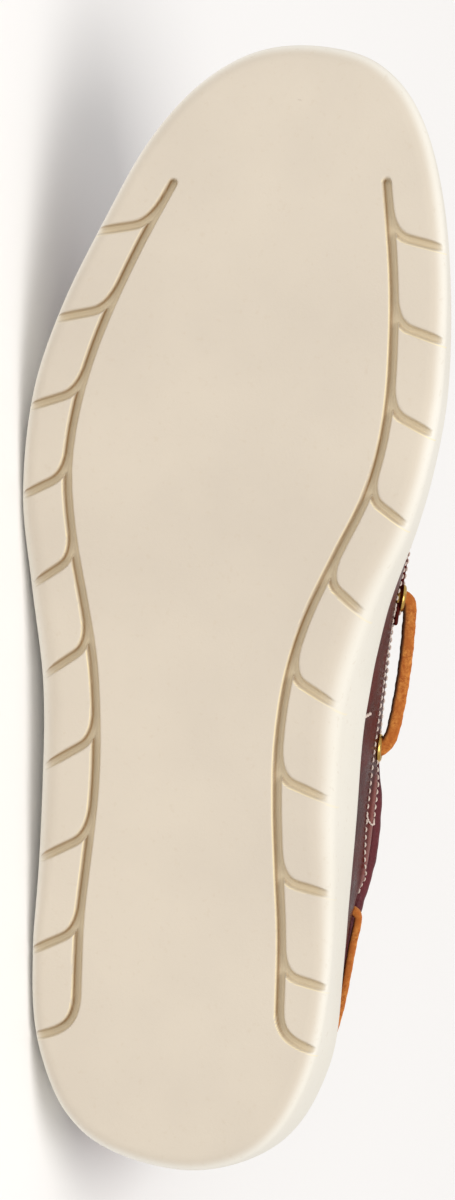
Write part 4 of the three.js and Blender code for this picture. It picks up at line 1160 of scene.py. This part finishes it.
footbed = {
    "thickness": 4.2,
    "inset": 0.5,
    "round": 1.0,
    "dish": 0.9,
    "halfColumns": 150,
    "ringInsets": (2, 3.5, 5.5, 8, 11, 14.5, 18.5),
}


def buildFootbed():
    # rings inset from the upper's inner face: up the edge, over its round, then gently down into a dish
    columns = 2 * footbed["halfColumns"]
    turns = evenTurns(columns)
    start = rimIn(stationOf(turns)) + sole["rimWidth"] + shoe["gap"] + shoe["wall"] + footbed["inset"]
    thickness, edge = footbed["thickness"], footbed["round"]
    rings = [(0, 0), (0, thickness - edge)]
    for turn in np.linspace(0, np.pi / 2, 5)[1:]:
        rings.append((edge * (1 - math.cos(turn)), thickness - edge * (1 - math.sin(turn))))
    for inset in footbed["ringInsets"]:
        rings.append((inset, thickness - footbed["dish"] * float(ramp(1.5, 16, inset))))
    points = []
    for inset, rise in rings:
        plan = insetPoint(turns, start + inset)
        points.append(np.concatenate([plan, (floorHeight(plan[:, 0]) + shoe["gap"] + rise)[:, None]], -1))
    points = np.array(points)
    parts = [(points.reshape(-1, 3), gridFaces(len(points), columns, closedColumns=True))]
    for row, flip in ((0, True), (-1, False)):
        strip, quads = closingStrip(points[row], 8, flip)
        parts.append((strip.reshape(-1, 3), quads))
    newPiece("footbedSock", *joinParts(parts), [footbedLeather], ["insole"], "footbed_leather")


buildFootbed()
print("footbed ready")

# eyelets

eyelet = {
    "sides": 40,
    # rolled flange, round the section: radius, height over the leather
    "section": [
        (2.2, -1.2), (2.2, 0.3), (2.45, 0.85), (3.0, 1.1), (3.6, 0.85), (3.9, 0.3), (3.75, 0.0), (3.2, -0.05),
        (2.7, -0.4), (2.6, -1.2),
    ],
    # name: station, share, whether it sits on an eyestay
    "places": {
        "side_front": (154, 0.36, 1), "side_rear": (114, 0.325, 0),
        "top": (166, 0.74, 1), "low": (184, 0.77, 1),
    },
    "onEyestay": 1.45,
}


def eyeletFrame(name, sign):
    x, share, raised = eyelet["places"][name]
    angle, share = np.array([sign * float(angleOf(x))]), np.array([float(share)])
    point, normal, up, length = lastFrame(angle, share)
    out = leatherRelief(angle, share, length) + raised * eyelet["onEyestay"]
    return (point + normal * out)[0], normal[0], up[0]


def buildEyelet(name, side, sign):  # the section turned about the leather's normal
    point, normal, up = eyeletFrame(name, sign)
    across = np.cross(normal, up)
    section = closedCurve(eyelet["section"], 30)
    turn = np.linspace(0, 2 * np.pi, eyelet["sides"], endpoint=False)[:, None, None]
    ring = up * np.cos(turn) + across * np.sin(turn)
    points = point + ring * section[None, :, :1] + normal * section[None, :, 1:]
    faces = gridFaces(eyelet["sides"], len(section), closedRows=True, closedColumns=True)
    node = f"eyelet_{name}_{side}"
    words = node.split("_")
    title = words[0] + "".join(w.capitalize() for w in words[1:])
    newPiece(title, points, faces, [brass], [node], "eyelet_brass")


for side, sign in (("medial", 1), ("lateral", -1)):
    for name in eyelet["places"]:
        buildEyelet(name, side, sign)
print("eyelets ready")

# thongs: rows are station, share of the section, mm off the last

sideThongMedial = [
    (154.2, 0.36, 0.2), (154.5, 0.36, 2.0), (153.8, 0.36, 3.6), (151.2, 0.357, 4.3), (147.5, 0.353, 4.5),
    (140, 0.34, 4.7), (131.5, 0.33, 4.5), (123.5, 0.325, 4.0), (118.4, 0.325, 3.3), (115.6, 0.325, 2.3),
    (114, 0.325, 1.0), (113.4, 0.325, -0.4),
]
sideThongLateral = [
    (154.2, 0.36, 0.2), (154.6, 0.36, 2.2), (154.2, 0.36, 4.2), (151.8, 0.357, 5.0), (149, 0.353, 4.6),
    (142, 0.342, 3.1), (134.4, 0.327, 1.9), (126.5, 0.32, 1.8), (120, 0.323, 1.8), (116.4, 0.325, 1.5),
    (114, 0.325, 0.6), (113.2, 0.325, -0.6),
]
frontThong = [
    (184, 0.77, 0.8), (184.3, 0.775, 3.4), (183.4, 0.79, 5.6), (180.0, 0.873, 6.0), (175.0, 0.996, 6.6),
]
frontThongFar = [(170.0, 0.857, 6.0), (166.8, 0.765, 5.6), (165.8, 0.742, 3.4), (166.0, 0.74, 0.8)]
secondThongLift = 2.4
# out of the slot below the collar, round the counter and under the heel strip
heelRun = {
    "slot": 66.5,                   # station
    "stay": 0.145,                  # angle of the outline at which it reaches the heel strip
    "belowTop": (0.135, 0.045),     # share under the top edge, at the heel and at the slot
    "out": (1.8, 0.8),              # mm off the last, just out of the slot and further back
}


def heelThong(sign):
    slot = float(angleOf(heelRun["slot"]))
    along = np.linspace(0, 1, 13)
    angle = np.concatenate([[slot * 1.02, slot * 1.012], blend(slot, heelRun["stay"], along), [0.1, 0.06]])
    x = stationOf(angle)
    share = topShare(x) - blend(*heelRun["belowTop"], np.minimum(x / heelRun["slot"], 1))
    out = np.concatenate([[-0.8, 0.9], blend(*heelRun["out"], ramp(0, 0.7, along)), [0.7, 0.6]])
    point, normal, _, _ = lastFrame(sign * angle, share)
    return point + normal * out[:, None], normal


def crossedThong(sign, lift):
    near, nearNormal = lastStops(sign, [(x, s, o + lift * ramp(3.5, 6, o)) for x, s, o in frontThong])
    far, farNormal = lastStops(-sign, [(x, s, o + lift * ramp(5.7, 6, o)) for x, s, o in frontThongFar])
    return thongSweep(np.concatenate([near, far]), np.concatenate([nearNormal, farNormal]))


def addThong(name, sweeps, node):
    points, faces = joinParts([sweep[:2] for sweep in sweeps])
    # mask of the painted shade on the side facing the leather
    under = np.concatenate([sweep[2].reshape(-1) for sweep in sweeps])
    newPiece(name, points, faces, [thongLeather], [node], "thong_leather", values={"under": under})


def buildThongs():
    sides = {"medial": (1, sideThongMedial), "lateral": (-1, sideThongLateral)}
    for side, (sign, rows) in sides.items():
        name = side.capitalize()
        stops, normal = lastStops(sign, rows)
        onEdge = unit(normal - np.array([0, 0, 2.2]))      # the inner side's thong stands on its edge
        turned = onEdge if sign > 0 else normal
        addThong("sideThong" + name, [thongSweep(stops, turned, normal)], "lace_side_" + side)
        addThong("heelThong" + name, [thongSweep(*heelThong(sign))], "lace_heel_" + side)
    addThong("frontThongs", [crossedThong(1, 0.0), crossedThong(-1, secondThongLift)], "lace_front")


buildThongs()
print("thongs ready")

# stitching

seams = {
    # lines on the sides of the upper: (station, height) stops
    "lowRow": [(172, 63.4), (165, 57), (158, 52.4), (150, 50), (139, 50.5), (126, 52.5), (114, 51.2),
               (101, 49.4), (94, 49.4), (86, 51.5), (80, 54), (73.5, 58)],
    "highRow": [(152, 57), (145, 57.6), (138, 58.5), (126, 60), (114, 59.4), (107, 57.8), (101, 56.4),
                (93.5, 55.2)],
    "crossRow": [(93.5, 55.2), (96.5, 48.5)],
    "collarRow": [(93.5, 55.2), (96, 59.2), (99.5, 63)],
    "slotRow": [(73.5, 58), (76.5, 61), (80, 62.4)],
    "sideSeam": [(124.2, 40), (123.0, 33)],
    "wingRows": (0.045, 0.11, 0.95),    # on the eyestay: shares of its height
    "wingEnds": (0.05, 0.955),          # and of its length
}


def wingTurn(sign, t):  # outline angle at a share of the eyestay's length
    return sign * blend(angleOf(trim["wingBack"]), angleOf(trim["wingFront"]), t)


def buildStitching():
    parts = []
    onWing = trim["middle"] + trim["half"] + stitch["over"]
    for sign in (1, -1):
        for key in ("lowRow", "highRow", "crossRow", "collarRow", "slotRow"):
            parts.append(stitchRow(*lineOnSide(sign, seams[key]), stitch["over"]))
        parts.append(stitchRow(*lineOnSide(sign, seams["sideSeam"]), stitch["over"], 2.2, 0.9, 0.5))
        turns = wingTurn(sign, np.linspace(0.04, 0.96, 200))
        for t in seams["wingRows"]:
            parts.append(stitchRow(turns, wingShares(stationOf(turns), t), onWing))
        for t in seams["wingEnds"]:
            turn = np.full(60, float(wingTurn(sign, t)))
            parts.append(stitchRow(turn, wingShares(stationOf(turn), np.linspace(0.06, 0.94, 60)), onWing))
        stay = np.full(80, sign * (trim["stayHalf"] - 0.018))
        share = blend(trim["stayBottom"] + 0.02, float(topShare(0.0)) - 0.13, np.linspace(0, 1, 80))
        parts.append(stitchRow(stay, share, onWing, 2.6))
    newPiece("quarterStitching", *joinParts(parts), [thread])
    pitch, start = upper["stitchPitch"], float(angleOf(upper["seamStart"]))
    fine = np.linspace(start, 2 * np.pi - start, 3000)
    travel = roundLength(fine)
    first, count = math.ceil(travel[0] / pitch), int((travel[-1] - travel[0]) / pitch)
    angle = wrap(np.interp((first + np.arange(count)) * pitch, travel, fine))
    newPiece("apronStitching", *crossStitches(angle, apronSeam(stationOf(angle))), [thread])


buildStitching()
print("stitching ready")
